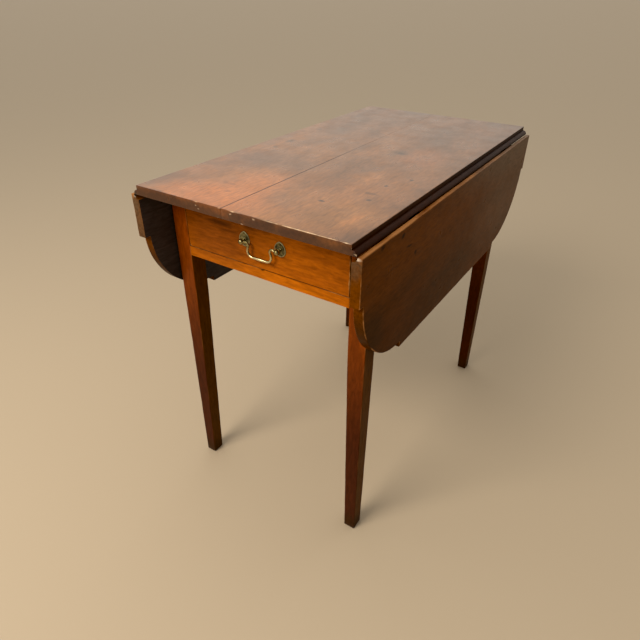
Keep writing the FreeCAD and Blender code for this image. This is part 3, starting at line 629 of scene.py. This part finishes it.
# Handle. A cast brass bail with swan-neck ends turns in two ball-headed posts, which pass through pointed
# plates and the drawer front and are held by nuts inside. The brass has tarnished green and brown, and is
# bright where fingers touch it.
BAIL_RADIUS = 2.3 * MM
BAIL_SWELL_RADIUS = 2.95 * MM
BAIL_SWELL_HALF = 13 * MM
BAIL_NECK = 2.7 * MM        # radius of the bend upwards beside a post
BAIL_CURL = 5.2 * MM        # radius of the bend down into an arm
NECK_SLOPE, ARM_SLANT = 40, 16      # degrees: the neck at its steepest, and the arms from plumb
BAIL_CORNER = 11 * MM
BAIL_PIN_DEPTH = 3 * MM
BAIL_DROP = 25 * MM
BAR_STEPS, CORNER_STEPS, CURL_STEPS, NECK_STEPS = 10, 10, 12, 5     # points along one half of the bail
WIRE_POINTS = 16            # round the bail
ROSETTE_BEVEL = 0.8 * MM
ROSETTE_DISH = 0.45 * MM
ROSETTE_ROUND, ROSETTE_SIDE = 16, 12    # points round its lower half and up each side to the tip
POST_SHANK = 2.4 * MM
POST_NECK = 3.2 * MM
POST_COLLAR = 4.6 * MM
COLLAR_RIM, COLLAR_RISE = 0.7 * MM, 1.2 * MM    # the collar's straight rim, and its whole height
BALL_STEPS = 12             # points over the ball
BALL_END = 172              # degrees round the ball where it meets its small flat tip
TARNISH_SIZE = 5 * MM
TARNISH_DULLS = 0.2         # roughness that tarnish adds
BRASS_RELIEF = 0.15 * MM    # of the cast skin


# Cast brass, once lacquered: a yellow metal with a grey-green skin in the hollows that breaks into warm
# bright metal on rounded places.
def tarnished_brass(name, bright, dark, rubbed, gloss):
    material, tree, shader, place = blank_material(name)
    spots = add(tree, "TexNoise", {"Vector": place, "Scale": 1 / TARNISH_SIZE, "Detail": 5})
    tarnish = add(tree, "MapRange", {"Value": spots.outputs["Fac"], "From Min": 0.38, "From Max": 0.62})
    tone = add(
        tree,
        "Mix",
        {"Factor": tarnish.outputs[0], MIX_A: colour(bright), MIX_B: colour(dark)},
        data_type="RGBA",
    )
    touched = add(tree, "Attribute", {}, attribute_name="worn")
    polished = add(
        tree,
        "Mix",
        {"Factor": touched.outputs["Fac"], MIX_A: tone.outputs[MIX_RESULT], MIX_B: colour(rubbed)},
        data_type="RGBA",
    )
    tree.links.new(polished.outputs[MIX_RESULT], shader.inputs["Base Color"])
    dull = add(
        tree, "MapRange", {"Value": tarnish.outputs[0], "To Min": gloss, "To Max": gloss + TARNISH_DULLS}
    )
    tree.links.new(dull.outputs[0], shader.inputs["Roughness"])
    bump = add(tree, "Bump", {"Height": spots.outputs["Fac"], "Strength": 0.15, "Distance": BRASS_RELIEF})
    tree.links.new(bump.outputs[0], shader.inputs["Normal"])
    shader.inputs["Metallic"].default_value = 1.0
    return material


brass_plate = tarnished_brass("brass_cast_tarnished", "#8c865e", "#504d37", "#a9a37d", gloss=0.34)
brass_rubbed = tarnished_brass("brass_cast_rubbed", "#b9ab7a", "#6f6742", "#e2d6a8", gloss=0.22)


def rosette_ring(middle, half, apex, y, drawn_in, roundness, hole, worn):
    """Pointed outline, drawn in, and blended towards a circle of the hole's size by roundness."""
    off = (apex ** 2 - half ** 2) / (2 * half)
    side_radius = half + off
    top = math.asin(apex / side_radius)
    outline = []
    for i in range(ROSETTE_ROUND):
        angle = math.pi * (1 + i / ROSETTE_ROUND)
        outline.append((half * math.cos(angle), half * math.sin(angle)))
    for i in range(ROSETTE_SIDE):
        angle = top * i / ROSETTE_SIDE
        outline.append((side_radius * math.cos(angle) - off, side_radius * math.sin(angle)))
    for i in range(ROSETTE_SIDE):
        angle = top * (1 - i / ROSETTE_SIDE)
        outline.append((off - side_radius * math.cos(angle), side_radius * math.sin(angle)))
    ring = []
    for x, z in outline:
        reach = math.hypot(x, z)
        wanted = (reach - drawn_in) * (1 - roundness) + hole * roundness
        ring.append((middle + Vector((x / reach * wanted, y, z / reach * wanted)), worn))
    return ring


def rosette(name, slim, half, apex, middle):
    """Plate with a bevelled rim and a shallow dish round the post."""
    rise = [
        (0.0, 0.0, 0.0, 0.0),
        (slim - ROSETTE_BEVEL, 0.0, 0.0, 0.3),
        (slim - ROSETTE_BEVEL / 3, ROSETTE_BEVEL / 2, 0.0, 0.8),
        (slim, ROSETTE_BEVEL * 1.4, 0.0, 1.0),
        (slim, ROSETTE_BEVEL * 2, 0.0, 0.8),
        (slim - ROSETTE_DISH, ROSETTE_BEVEL * 3, 0.0, 0.0),
        (slim - ROSETTE_DISH, 0.0, 0.7, 0.0),
        (slim, 0.0, 0.95, 0.2),
        (slim, 0.0, 1.0, 0.2),
    ]
    rings = []
    for y, inset, blend, worn in rise:
        rings.append(rosette_ring(middle, half, apex, -y, inset, blend, POST_COLLAR, worn))
    return skin(name, rings)


def turned(name, middle, profile):
    """Turned piece about the y axis: each profile point is a place along y and a radius."""
    rings = []
    for y, radius in profile:
        ring = []
        for i in range(WIRE_POINTS * 2):
            angle = math.pi * i / WIRE_POINTS
            ring.append((middle + Vector((radius * math.cos(angle), y, radius * math.sin(angle))), 0.0))
        rings.append(ring)
    return skin(name, rings)


for side in ("left", "right"):
    low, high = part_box("handle_rosette_" + side)
    half = (high.x - low.x) / 2
    seat = Vector(((low.x + high.x) / 2, high.y, low.z + half))
    plate = rosette("handle_rosette_cast_" + side, high.y - low.y, half, high.z - seat.z, seat)
    dress(plate, "drawer", "handle_rosette_" + side, "aged_brass", brass_plate)

    post_low, post_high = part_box("handle_post_" + side)
    ball = (post_high.x - post_low.x) / 2
    ball_y = post_low.y + ball - seat.y
    collar_y = low.y - seat.y
    profile = [(post_high.y - seat.y, POST_SHANK), (collar_y, POST_SHANK), (collar_y, POST_COLLAR)]
    profile += [(collar_y - COLLAR_RIM, POST_COLLAR), (collar_y - COLLAR_RISE, POST_NECK)]
    start = math.degrees(math.asin(POST_NECK / ball))
    for i in range(BALL_STEPS + 1):
        angle = math.radians(start + (BALL_END - start) * i / BALL_STEPS)
        profile.append((ball_y + ball * math.cos(angle), ball * math.sin(angle)))
    post = turned("handle_post_turned_" + side, seat, profile)
    dress(post, "drawer", "handle_post_" + side, "aged_brass", brass_rubbed)
    finish_node("handle_nut_" + side, brass_plate)


def arc(middle, radius, first, last, steps):
    """Points on a circle in the bail's plane, between two angles in degrees."""
    angles = [math.radians(first + (last - first) * i / steps) for i in range(steps + 1)]
    return [(middle[0] + radius * math.cos(a), middle[1] + radius * math.sin(a)) for a in angles]


def bail_path(half, ball):
    """Places x, z from the middle of the bar to the end of the right-hand pin."""
    neck = half - ball
    slope, slant = math.radians(NECK_SLOPE), math.radians(ARM_SLANT)
    curl_x = neck - (BAIL_NECK + BAIL_CURL) * math.sin(slope)
    curl_z = BAIL_NECK - (BAIL_NECK + BAIL_CURL) * math.cos(slope)
    corner_z = BAIL_CORNER - BAIL_DROP
    fall = curl_z - corner_z - (BAIL_CURL + BAIL_CORNER) * math.sin(slant)
    bar_end = curl_x - (BAIL_CURL + BAIL_CORNER) * math.cos(slant) + fall * math.tan(slant)
    path = [(bar_end * i / BAR_STEPS, -BAIL_DROP) for i in range(BAR_STEPS)]
    path += arc((bar_end, corner_z), BAIL_CORNER, -90, ARM_SLANT, CORNER_STEPS)
    path += arc((curl_x, curl_z), BAIL_CURL, 180 + ARM_SLANT, 90 - NECK_SLOPE, CURL_STEPS)
    path += arc((neck, BAIL_NECK), BAIL_NECK, 270 - NECK_SLOPE, 270, NECK_STEPS)[1:]
    return path + [(half + BAIL_PIN_DEPTH, 0)]


def bail_radius(x, z):
    """Half thickness of the bail: the bar swells smoothly towards its middle."""
    if z > -BAIL_DROP + BAIL_CORNER / 2:
        return BAIL_RADIUS
    swell = max(0, 1 - abs(x) / BAIL_SWELL_HALF)
    return BAIL_RADIUS + (BAIL_SWELL_RADIUS - BAIL_RADIUS) * swell * swell * (3 - 2 * swell)


low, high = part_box("handle_post_right")
post_middle = (low + high) / 2
ball = (high.x - low.x) / 2
handle_x = (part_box("handle_post_left")[0].x + high.x) / 2
wire_middle = Vector((handle_x, low.y + ball, post_middle.z))
right_half = bail_path(post_middle.x - handle_x, ball)
path = [(-x, z) for x, z in reversed(right_half[1:])] + right_half
rings = []
for i, (x, z) in enumerate(path):
    before, after = path[max(i - 1, 0)], path[min(i + 1, len(path) - 1)]
    way = Vector((after[0] - before[0], 0, after[1] - before[1])).normalized()
    across = Vector((-way.z, 0, way.x))
    ring = []
    for k in range(WIRE_POINTS):
        angle = 2 * math.pi * k / WIRE_POINTS
        out = across * math.cos(angle) + Vector((0, math.sin(angle), 0))
        touched = max(0, -z / BAIL_DROP) * max(0, -out.y)
        ring.append((wire_middle + Vector((x, 0, z)) + out * bail_radius(x, z), touched))
    rings.append(ring)
bail = skin("handle_bail_cast", rings)
dress(bail, "bail", "handle_bail", "aged_brass", brass_rubbed)


# Top. Two cherry boards glued edge to edge, screwed down from below. Their long outer edges are the
# quarter round of a rule joint; the front edge is knocked and chipped, and the polish is smoky, dented
# and stained.
TOP_ARRIS = 0.9 * MM
UNDER_ARRIS = 0.3 * MM
SEAM_ARRIS = 0.45 * MM
RULE_ROUND = 9 * MM
RULE_START = 5              # degrees of the quarter round that its lower arris takes off
FILLET_WEAR = 0.3 * MM      # the worn edge of the fillet reaches this far inside the hinge line
END_ON = 0.5                # part of a normal along y from which a face belongs to an end
TOP_CLOUDS = (75, 190)      # millimetres across and along the grain
TOP_CHIPS = (               # place along x on the front edge, reach and extra wear
    (-120, 150, -0.6),
    (-75, 9, 1.4),
    (-27, 7, 1.6),
    (0, 6, 1.6),
    (145, 110, 0.3),
    (222, 14, 1.4),
)
HINGE_ROOM = 0.4 * MM
HINGE_PLATE = 2 * MM        # thickness of the plates
BARREL_STEPS = 10           # points over the hollow for a hinge's barrel
CUT_PAST = 1 * MM           # a cutting tool reaches this far past the wood


def top_wear(place):
    """Wear on the top: the usual, and more or less along its front edge."""
    wear = wear_at(place)
    if place.y < 0:
        for x, reach, extra in TOP_CHIPS:
            wear += extra * max(0, 1 - abs(place.x - x * MM) / (reach * MM))
    return wear


def ovolo_edge(low, high, radius, soft):
    """Rule joint on the top: a quarter round below a square fillet."""
    def levels(wear):
        lower = softened(low, 1, UNDER_ARRIS, 1, 0)
        upper = []
        for inset, height, bared in softened(high, -1, soft, wear, 0):
            upper.append((inset + radius, height, bared))
        round_part = []
        for i in range(EDGE_RUN):
            angle = math.radians(RULE_START + (90 - RULE_START) * (i + 1) / EDGE_RUN)
            round_part.append((radius * (1 - math.cos(angle)), low + radius * math.sin(angle), 0.0))
        return lower + round_part + upper[::-1]
    return levels


def cut_away(piece, tool):
    """Takes the tool's shape out of a piece."""
    change = piece.modifiers.new("cut", "BOOLEAN")
    change.operation = "DIFFERENCE"
    change.object = tool
    change.solver = "EXACT"
    shape = piece.evaluated_get(bpy.context.evaluated_depsgraph_get())
    piece.data = bpy.data.meshes.new_from_object(shape)
    piece.modifiers.clear()
    bpy.data.objects.remove(tool)


def bars(name, profile, ends):
    """Straight bars of one section in x and z, each between two places along y."""
    made = bmesh.new()
    for start, end in ends:
        loops = [[made.verts.new((x, y, z)) for x, z in profile] for y in (start, end)]
        for i in range(len(profile)):
            made.faces.new((loops[0][i - 1], loops[0][i], loops[1][i], loops[1][i - 1]))
        made.faces.new(loops[0])
        made.faces.new(loops[1])
    bmesh.ops.recalc_face_normals(made, faces=made.faces)
    mesh = bpy.data.meshes.new(name)
    made.to_mesh(mesh)
    made.free()
    tool = bpy.data.objects.new(name, mesh)
    bpy.context.scene.collection.objects.link(tool)
    return tool


def hinge_spans(side, margin):
    """Places along y between which a side's two hinges lie, each with a margin."""
    spans = []
    for end in ("front", "back"):
        low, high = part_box(f"hinge_top_plate_{end}_{side}")
        spans.append((low.y - margin, high.y + margin))
    return spans


# A broad darkening over the back half, then broad patches of smoke and of warm polish, then dents, the
# glue line, the two ends and the front edge.
TOP_STAINS = [
    Stain((50, 370, 720), (420, 400, 60), 0.5, "#553823", False),
    Stain((205, 425, 720), (90, 70, 30), 0.4, "#3a281c"),
    Stain((-75, -405, 720), (165, 105, 40), 0.65, "#b86c31"),
    Stain((-50, -320, 720), (80, 125, 30), 0.6, "#b87036"),
    Stain((-222, -380, 720), (50, 80, 30), 0.5, "#5f4330"),
    Stain((-222, -20, 720), (45, 150, 30), 0.4, "#4f3c30"),
    Stain((224, 100, 720), (45, WHOLE, 20), 0.3, "#4a3222"),
    Stain((-120, -165, 720), (115, 100, 40), 0.55, "#594538"),
    Stain((-150, 90, 720), (80, 150, 40), 0.35, "#4f3c30"),
    Stain((37, -340, 720), (48, 60, 40), 0.25, "#6a523f"),
    Stain((100, -425, 720), (110, 60, 30), 0.4, "#a9703b"),
    Stain((190, -225, 720), (40, 60, 30), 0.3, "#a96e3b"),
    Stain((155, -345, 720), (100, 95, 30), 0.32, "#a5713c"),
    Stain((178, -350, 720), (11, 40, 20), 0.35, "#c07a3a"),
    Stain((-190, -300, 720), (60, 50, 30), 0.35, "#a56a3b"),
    Stain((100, -150, 720), (35, 50, 20), 0.25, "#b0763f"),
    Stain((130, 20, 720), (70, 110, 30), 0.35, "#a86c44"),
    Stain((76, 30, 720), (30, 26, 20), 0.4, "#3d3026"),
    Stain((81, 28, 720), (14, 9, 20), 0.35, "#221c18"),
    Stain((93.4, -311.7, 720), (9, 6, 9), 0.85, "#251a12", False),
    Stain((172.4, -127.3, 720), (6, 7, 9), 0.8, "#2b1c12", False),
    Stain((148.3, -182.9, 720), (5, 7, 9), 0.85, "#2b1c12", False),
    Stain((157.6, -264.2, 720), (7, 7, 9), 0.8, "#2b1c12", False),
    Stain((146, -233, 720), (18, 9, 9), 0.5, "#3b281a"),
    Stain((-180, -21, 720), (14, 26, 9), 0.6, "#32261e"),
    Stain((-176, -85, 720), (9, 16, 9), 0.5, "#32261e"),
    Stain((-187, 106, 720), (7, 9, 9), 0.7, "#2b1f18"),
    Stain((-93, -328, 720), (26, 8, 9), 0.4, "#5a3520"),
    Stain((-67, -363, 720), (9, 7, 9), 0.4, "#5a3520"),
    Stain((-22, -250, 720), (2.2, 520, 5), 0.9, "#2c1408", False),
    Stain((0, -434, 711), (WHOLE, 4, WHOLE), 0.8, "#4e270c", False),
    Stain((0, 434, 711), (WHOLE, 4, WHOLE), 0.75, "#5f3c24", False),
    Stain((-150, -434, 711), (120, 6, 30), 0.55, "#3e1c08"),
    Stain((-95, -434, 712), (22, 6, 9), 0.5, "#6a4326"),
    Stain((195, -434, 711), (42, 6, 14), 0.6, "#7d4a1b"),
    # Painted shadow line along the lower part of the front edge.
    Stain((0, -434, 706), (WHOLE, 10, 15), 0.7, "#391e0d"),
    Stain((70, -434, 711), (130, 6, 14), 0.6, "#3c2116"),
    Stain((-12, -434, 711), (32, 6, 12), 0.6, "#3f2f22"),
    Stain((231, -434, 704), (8, 6, 9), 0.85, "#22130b", False),
    Stain((-231, -434, 704), (8, 6, 9), 0.85, "#22130b", False),
]
FRONT_CHIPS = (             # place along x and z, and half their length
    (0, 715, 3.5), (-27, 704, 2.5), (22, 701.8, 4), (49.5, 716, 4.5), (-75, 711, 2), (-70, 706, 3),
    (225, 712, 2.5), (231, 704, 4),
)
for x, z, reach in FRONT_CHIPS:
    TOP_STAINS.append(Stain((x, -432.5, z), (reach, 60, 1.7), 0.65, "#bda388"))
cherry_top = polished_cherry(
    "cherry_planed_shellac_top", ALONG, ("#966337", "#694525", "#efcfa8"),
    gloss=0.3, film=0.5, lines=0.3, stains=TOP_STAINS, clouds=TOP_CLOUDS,
)
# The moulded long edges were polished too; their colour is painted dark as painted shade, and their film
# is dull.
cherry_moulding_painted_shade = polished_cherry(
    "cherry_moulded_shellac_painted_shade", ALONG, ("#3a1d0e", "#28130a", "#8a5a34"),
    gloss=0.36, film=0.04, lines=0.4,
)
# Bare cherry under the top and behind the leaves: planed, never polished, and nearly black with age and
# dust and with painted shade.
cherry_under = polished_cherry(
    "cherry_planed_bare", ALONG, ("#443e3e", "#332e2e", "#46301f"), gloss=0.6, film=0.2, lines=0.5
)

top_low, top_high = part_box("top_board_right")
underside, surface = top_low.z, top_high.z
hinge_x = top_high.x - RULE_ROUND
end_edge = square_edge(underside, surface, UNDER_ARRIS, TOP_ARRIS, 0, 1)
seam_edge = square_edge(underside, surface, UNDER_ARRIS, SEAM_ARRIS, 0, 0)
rule_edge = ovolo_edge(underside, surface, RULE_ROUND, TOP_ARRIS)
plate_low, plate_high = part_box("hinge_top_plate_front_right")
plate_top = underside + HINGE_PLATE
barrel = plate_high.x - hinge_x + HINGE_ROOM
below = underside - CUT_PAST
beyond = top_high.x + CUT_PAST
gain = [(plate_low.x, below), (plate_low.x, plate_top)]
first = 180 - math.degrees(math.asin((plate_top - underside) / barrel))
last = math.degrees(math.asin((plate_top + HINGE_ROOM - underside) / barrel))
gain += arc((hinge_x, underside), barrel, first, last, BARREL_STEPS)
gain += [(beyond, plate_top + HINGE_ROOM), (beyond, below)]


def on_moulding(face):
    """Whether a face of a top board belongs to its moulded long edge."""
    return abs(face.center.x) > hinge_x - FILLET_WEAR and abs(face.normal.y) < END_ON


for side, sign in (("left", -1), ("right", 1)):
    name = "top_board_" + side
    low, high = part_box(name)
    edges = [end_edge, rule_edge, end_edge, seam_edge]
    if sign < 0:
        edges = [end_edge, seam_edge, end_edge, rule_edge]
    sides = rectangle((low.x, low.y), (high.x, high.y), edges)
    board = worn_board(name + "_worn", sides, lambda a, b, t: Vector((a, b, t)), top_wear)
    cut_away(board, bars("gain", [(sign * x, z) for x, z in gain], hinge_spans(side, HINGE_ROOM)))
    dress(board, "table_frame", name, "varnished_cherry_top", cherry_top, cherry_under, cherry_moulding_painted_shade)
    refinish(board, cherry_moulding_painted_shade, on_moulding)
    refinish(board, cherry_under, lambda face: face.normal.z < -SQUARE_ON)


# Hinges. Wrought iron table hinges let into the underside of the top and the inner face of each leaf, two
# to a leaf, with a short plate, a long plate, a pin and hand-filed screws.
for side in ("left", "right"):
    for end in ("front", "back"):
        for name in ("hinge_top_plate", "hinge_leaf_plate", "hinge_pin"):
            finish_node(f"{name}_{end}_{side}", iron)
    finish_node("hinge_screws_leaf_" + side, iron)
finish_node("hinge_screws_top", iron)


# Leaves. One cherry board each side with stepped round corners. The upper edge is hollowed to turn round
# the top's quarter round and leaves a thin lip, which is rubbed pale. The outer face is polished, and the
# inner one is bare.
LEAF_ARRIS = 1.1 * MM
LEAF_STEP = 12 * MM
LEAF_ROUND = 152 * MM
COVE_ROUND = 9.8 * MM
LIP_BARE = 0.6              # the lip is rubbed this bare at most by the turning joint
LIP_WEAR = 0.3              # wear at which the lip starts to show
LEAF_MIDDLE_WEAR = 0.95     # share of the usual wear half way along a leaf

leaf_low, leaf_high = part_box("leaf_right")


def cove_edge(low, high, radius, gap, soft):
    """Rule joint on the leaf: a hollow quarter from the inner face, then the lip."""
    deep = radius - gap
    turn_end = math.acos(gap / radius)

    def levels(wear):
        lip = LIP_BARE * min(1, max(0, wear - LIP_WEAR))
        lower = [(inset + deep, height, 0.0) for inset, height, _ in softened(low, 1, UNDER_ARRIS, 1)]
        upper = []
        for inset, height, bared in softened(high, -1, soft, wear):
            upper.append((inset, height, max(bared, lip * (1 - inset / (soft * wear + FLAT_BAND)))))
        hollow = []
        for i in range(EDGE_RUN):
            angle = turn_end * (i + 1) / EDGE_RUN
            bared = lip if i == EDGE_RUN - 1 else 0.0
            hollow.append((radius * math.cos(angle) - gap, low + radius * math.sin(angle), bared))
        return lower + hollow + upper[::-1]
    return levels


def leaf_wear(place):
    """Wear on a leaf: more towards the drawer end, where it is taken hold of."""
    return wear_at(place) * (LEAF_MIDDLE_WEAR - place.y / (2 * leaf_high.y))


# Dents near the drawer end, painted shade and a painted grey sheen on the outer face, dust on the ends,
# and two pale chips.
LEAF_STAINS = [
    Stain((242, -297, 688), (20, 9, 5), 0.85, "#180b04"),
    Stain((242, -243, 637), (20, 8, 6), 0.75, "#180b04"),
    Stain((242, -270, 660), (20, 14, 4), 0.7, "#180b04"),
    Stain((242, -367, 696), (20, 10, 6), 0.75, "#180b04"),
    # Painted shade.
    Stain((0, -300, 480), (WHOLE, 260, 150), 0.4, "#361802"),
    Stain((242, -50, 515), (30, 270, 95), 0.5, "#382003"),
    # Painted grey sheen towards the far end.
    Stain((242, 350, 715), (30, 560, 95), 0.5, "#7d6a58"),
    Stain((0, -433, 685), (WHOLE, 5, 34), 0.65, "#5d4a36"),
    Stain((-233, -433, 640), (20, 5, 110), 0.65, "#5d4a36", False),
    # Painted shade.
    Stain((0, -395, 540), (WHOLE, 80, 90), 0.8, "#3f2408"),
    # Painted grey sheen.
    Stain((242, 330, 610), (30, 330, 170), 0.4, "#6b5a48"),
    Stain((234, -432.5, 699), (9, 3, 3.5), 0.9, "#cfc0ae", False),
    Stain((-230, -432.5, 698), (7, 3, 3.5), 0.85, "#cfc0ae", False),
]
# The leaf's polish is painted darker than the top's, as painted shade on the hanging leaf.
cherry_leaf_painted_shade = polished_cherry(
    "cherry_planed_shellac_leaf_painted_shade", ALONG, ("#6a3803", "#512b03", "#b07a48"),
    gloss=0.3, film=0.02, lines=0.3, stains=LEAF_STAINS,
)
rule_gap = underside - leaf_high.z
thick = leaf_high.x - leaf_low.x
leaf_square = square_edge(0, thick, UNDER_ARRIS, LEAF_ARRIS)
leaf_cove = cove_edge(0, thick, COVE_ROUND, rule_gap, LEAF_ARRIS)
half, low_z, top_z = leaf_high.y, leaf_low.z, leaf_high.z
arc_y, arc_z = half - LEAF_STEP - LEAF_ROUND, low_z + LEAF_STEP + LEAF_ROUND
leaf_corners = [
    (-arc_y, low_z), (arc_y, low_z), (arc_y, low_z + LEAF_STEP), (half - LEAF_STEP, arc_z), (half, arc_z),
    (half, top_z), (-half, top_z), (-half, arc_z), (-half + LEAF_STEP, arc_z), (-arc_y, low_z + LEAF_STEP),
]
leaf_sides = []
for i, corner in enumerate(leaf_corners):
    start, end = Vector(corner), Vector(leaf_corners[(i + 1) % len(leaf_corners)])
    edge = leaf_cove if start.y == end.y == top_z else leaf_square
    round_middle = None
    if start.x != end.x and start.y != end.y:
        round_middle = Vector((math.copysign(arc_y, start.x), arc_z))
    leaf_sides.append(Side(start, end, edge, round_middle))
for side, sign in (("left", -1), ("right", 1)):
    name = "leaf_" + side
    leaf = worn_board(
        name + "_worn", leaf_sides, lambda a, b, t: Vector((sign * (leaf_low.x + t), a, b)), leaf_wear
    )
    plate_low, plate_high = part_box(f"hinge_leaf_plate_front_{side}")
    deepest = max(abs(plate_low.x), abs(plate_high.x))
    inside = leaf_low.x - CUT_PAST
    recess = [(inside, plate_low.z), (deepest, plate_low.z), (deepest, underside), (inside, underside)]
    cut_away(leaf, bars("recess", [(sign * x, z) for x, z in recess], hinge_spans(side, 0)))
    dress(leaf, side + "_leaf", name, "varnished_cherry_top", cherry_leaf_painted_shade, cherry_under)
    refinish(leaf, cherry_under, lambda face: sign * face.normal.x < -SQUARE_ON)


# Floor. A plain pale floor of matt sandy paint, laid under the feet, which reaches to the horizon.
FLOOR_REACH = 60            # metres
FLOOR_TONE, FLOOR_ROUGHNESS = "#b7a891", 0.8

floor_mesh = bpy.data.meshes.new("floor")
corners = [(x * FLOOR_REACH, y * FLOOR_REACH, 0) for x, y in ((-1, -1), (1, -1), (1, 1), (-1, 1))]
floor_mesh.from_pydata(corners, [], [(0, 1, 2, 3)])
floor = bpy.data.objects.new("floor", floor_mesh)
bpy.context.scene.collection.objects.link(floor)
# Matt paint: rolled on in one even tone, with no gloss to mirror the table.
paint = bpy.data.materials.new("floor_matt_paint")
paint.use_nodes = True
paint_shader = paint.node_tree.nodes["Principled BSDF"]
paint_shader.inputs["Base Color"].default_value = colour(FLOOR_TONE)
paint_shader.inputs["Roughness"].default_value = FLOOR_ROUGHNESS
floor_mesh.materials.append(paint)


# Light. A large soft lamp high in front of the table, a little to the left, and a glow that is brightest
# behind the table, where it gives the top its sheen.
LAMP_PLACE, LAMP_TARGET = Vector((-0.6, -2.3, 2.4)), Vector((0, 0, 0.5))
LAMP_SIZE, LAMP_POWER, LAMP_TONE = 1.5, 75, "#fff1de"
GLOW_WAY = (-0.75, 0.62, 0.22)      # where the glow is brightest
GLOW_START = -0.9                   # cosine of the angle from there at which it begins to rise
GLOW_LEAST, GLOW_MOST, GLOW_TONE = 0.15, 1.25, "#f5ecdf"
BLACK_LEVEL = 0.002                 # light that is shown as black

lamp = bpy.data.lights.new("front_lamp", "AREA")
lamp.shape = "DISK"
lamp.size = LAMP_SIZE
lamp.energy = LAMP_POWER
lamp.color = colour(LAMP_TONE)[:3]
holder = bpy.data.objects.new("front_lamp", lamp)
holder.location = LAMP_PLACE
holder.rotation_euler = (LAMP_TARGET - LAMP_PLACE).to_track_quat("-Z", "Y").to_euler()
bpy.context.scene.collection.objects.link(holder)

world = bpy.data.worlds.new("studio")
world.use_nodes = True
glow = world.node_tree
way = add(glow, "TexCoord", {}).outputs["Generated"]
toward_back = add(glow, "VectorMath", {0: way, 1: GLOW_WAY}, operation="DOT_PRODUCT").outputs["Value"]
strength = add(
    glow,
    "MapRange",
    {"Value": toward_back, "From Min": GLOW_START, "To Min": GLOW_LEAST, "To Max": GLOW_MOST},
)
glow.links.new(strength.outputs[0], glow.nodes["Background"].inputs["Strength"])
glow.nodes["Background"].inputs["Color"].default_value = colour(GLOW_TONE)
bpy.context.scene.world = world
picture = bpy.context.scene.view_settings
picture.view_transform = "Standard"
picture.use_curve_mapping = True
picture.curve_mapping.black_level = [BLACK_LEVEL] * 3


# Camera. At the photograph's viewing angle: its place in millimetres and its turns in degrees were fitted
# to the corners and edges of the table, with its focal length in pixels of a 640 pixel image.
IMAGE_WIDTH = 640
FOCAL_PIXELS = 527.6
SENSOR_WIDTH = 36
CAMERA_PLACE = Vector((557.1, -1023.7, 1030.2)) * MM
CAMERA_YAW, CAMERA_PITCH, CAMERA_ROLL = (math.radians(turn) for turn in (33.106, 32.787, 0.486))
lens = bpy.data.cameras.new("camera")
lens.sensor_width = SENSOR_WIDTH
lens.lens = SENSOR_WIDTH * FOCAL_PIXELS / IMAGE_WIDTH
camera = bpy.data.objects.new("camera", lens)
turn = Matrix.Rotation(CAMERA_YAW, 4, "Z") @ Matrix.Rotation(math.pi / 2 - CAMERA_PITCH, 4, "X")
camera.matrix_world = Matrix.Translation(CAMERA_PLACE) @ turn @ Matrix.Rotation(CAMERA_ROLL, 4, "Z")
bpy.context.scene.collection.objects.link(camera)
bpy.context.scene.camera = camera
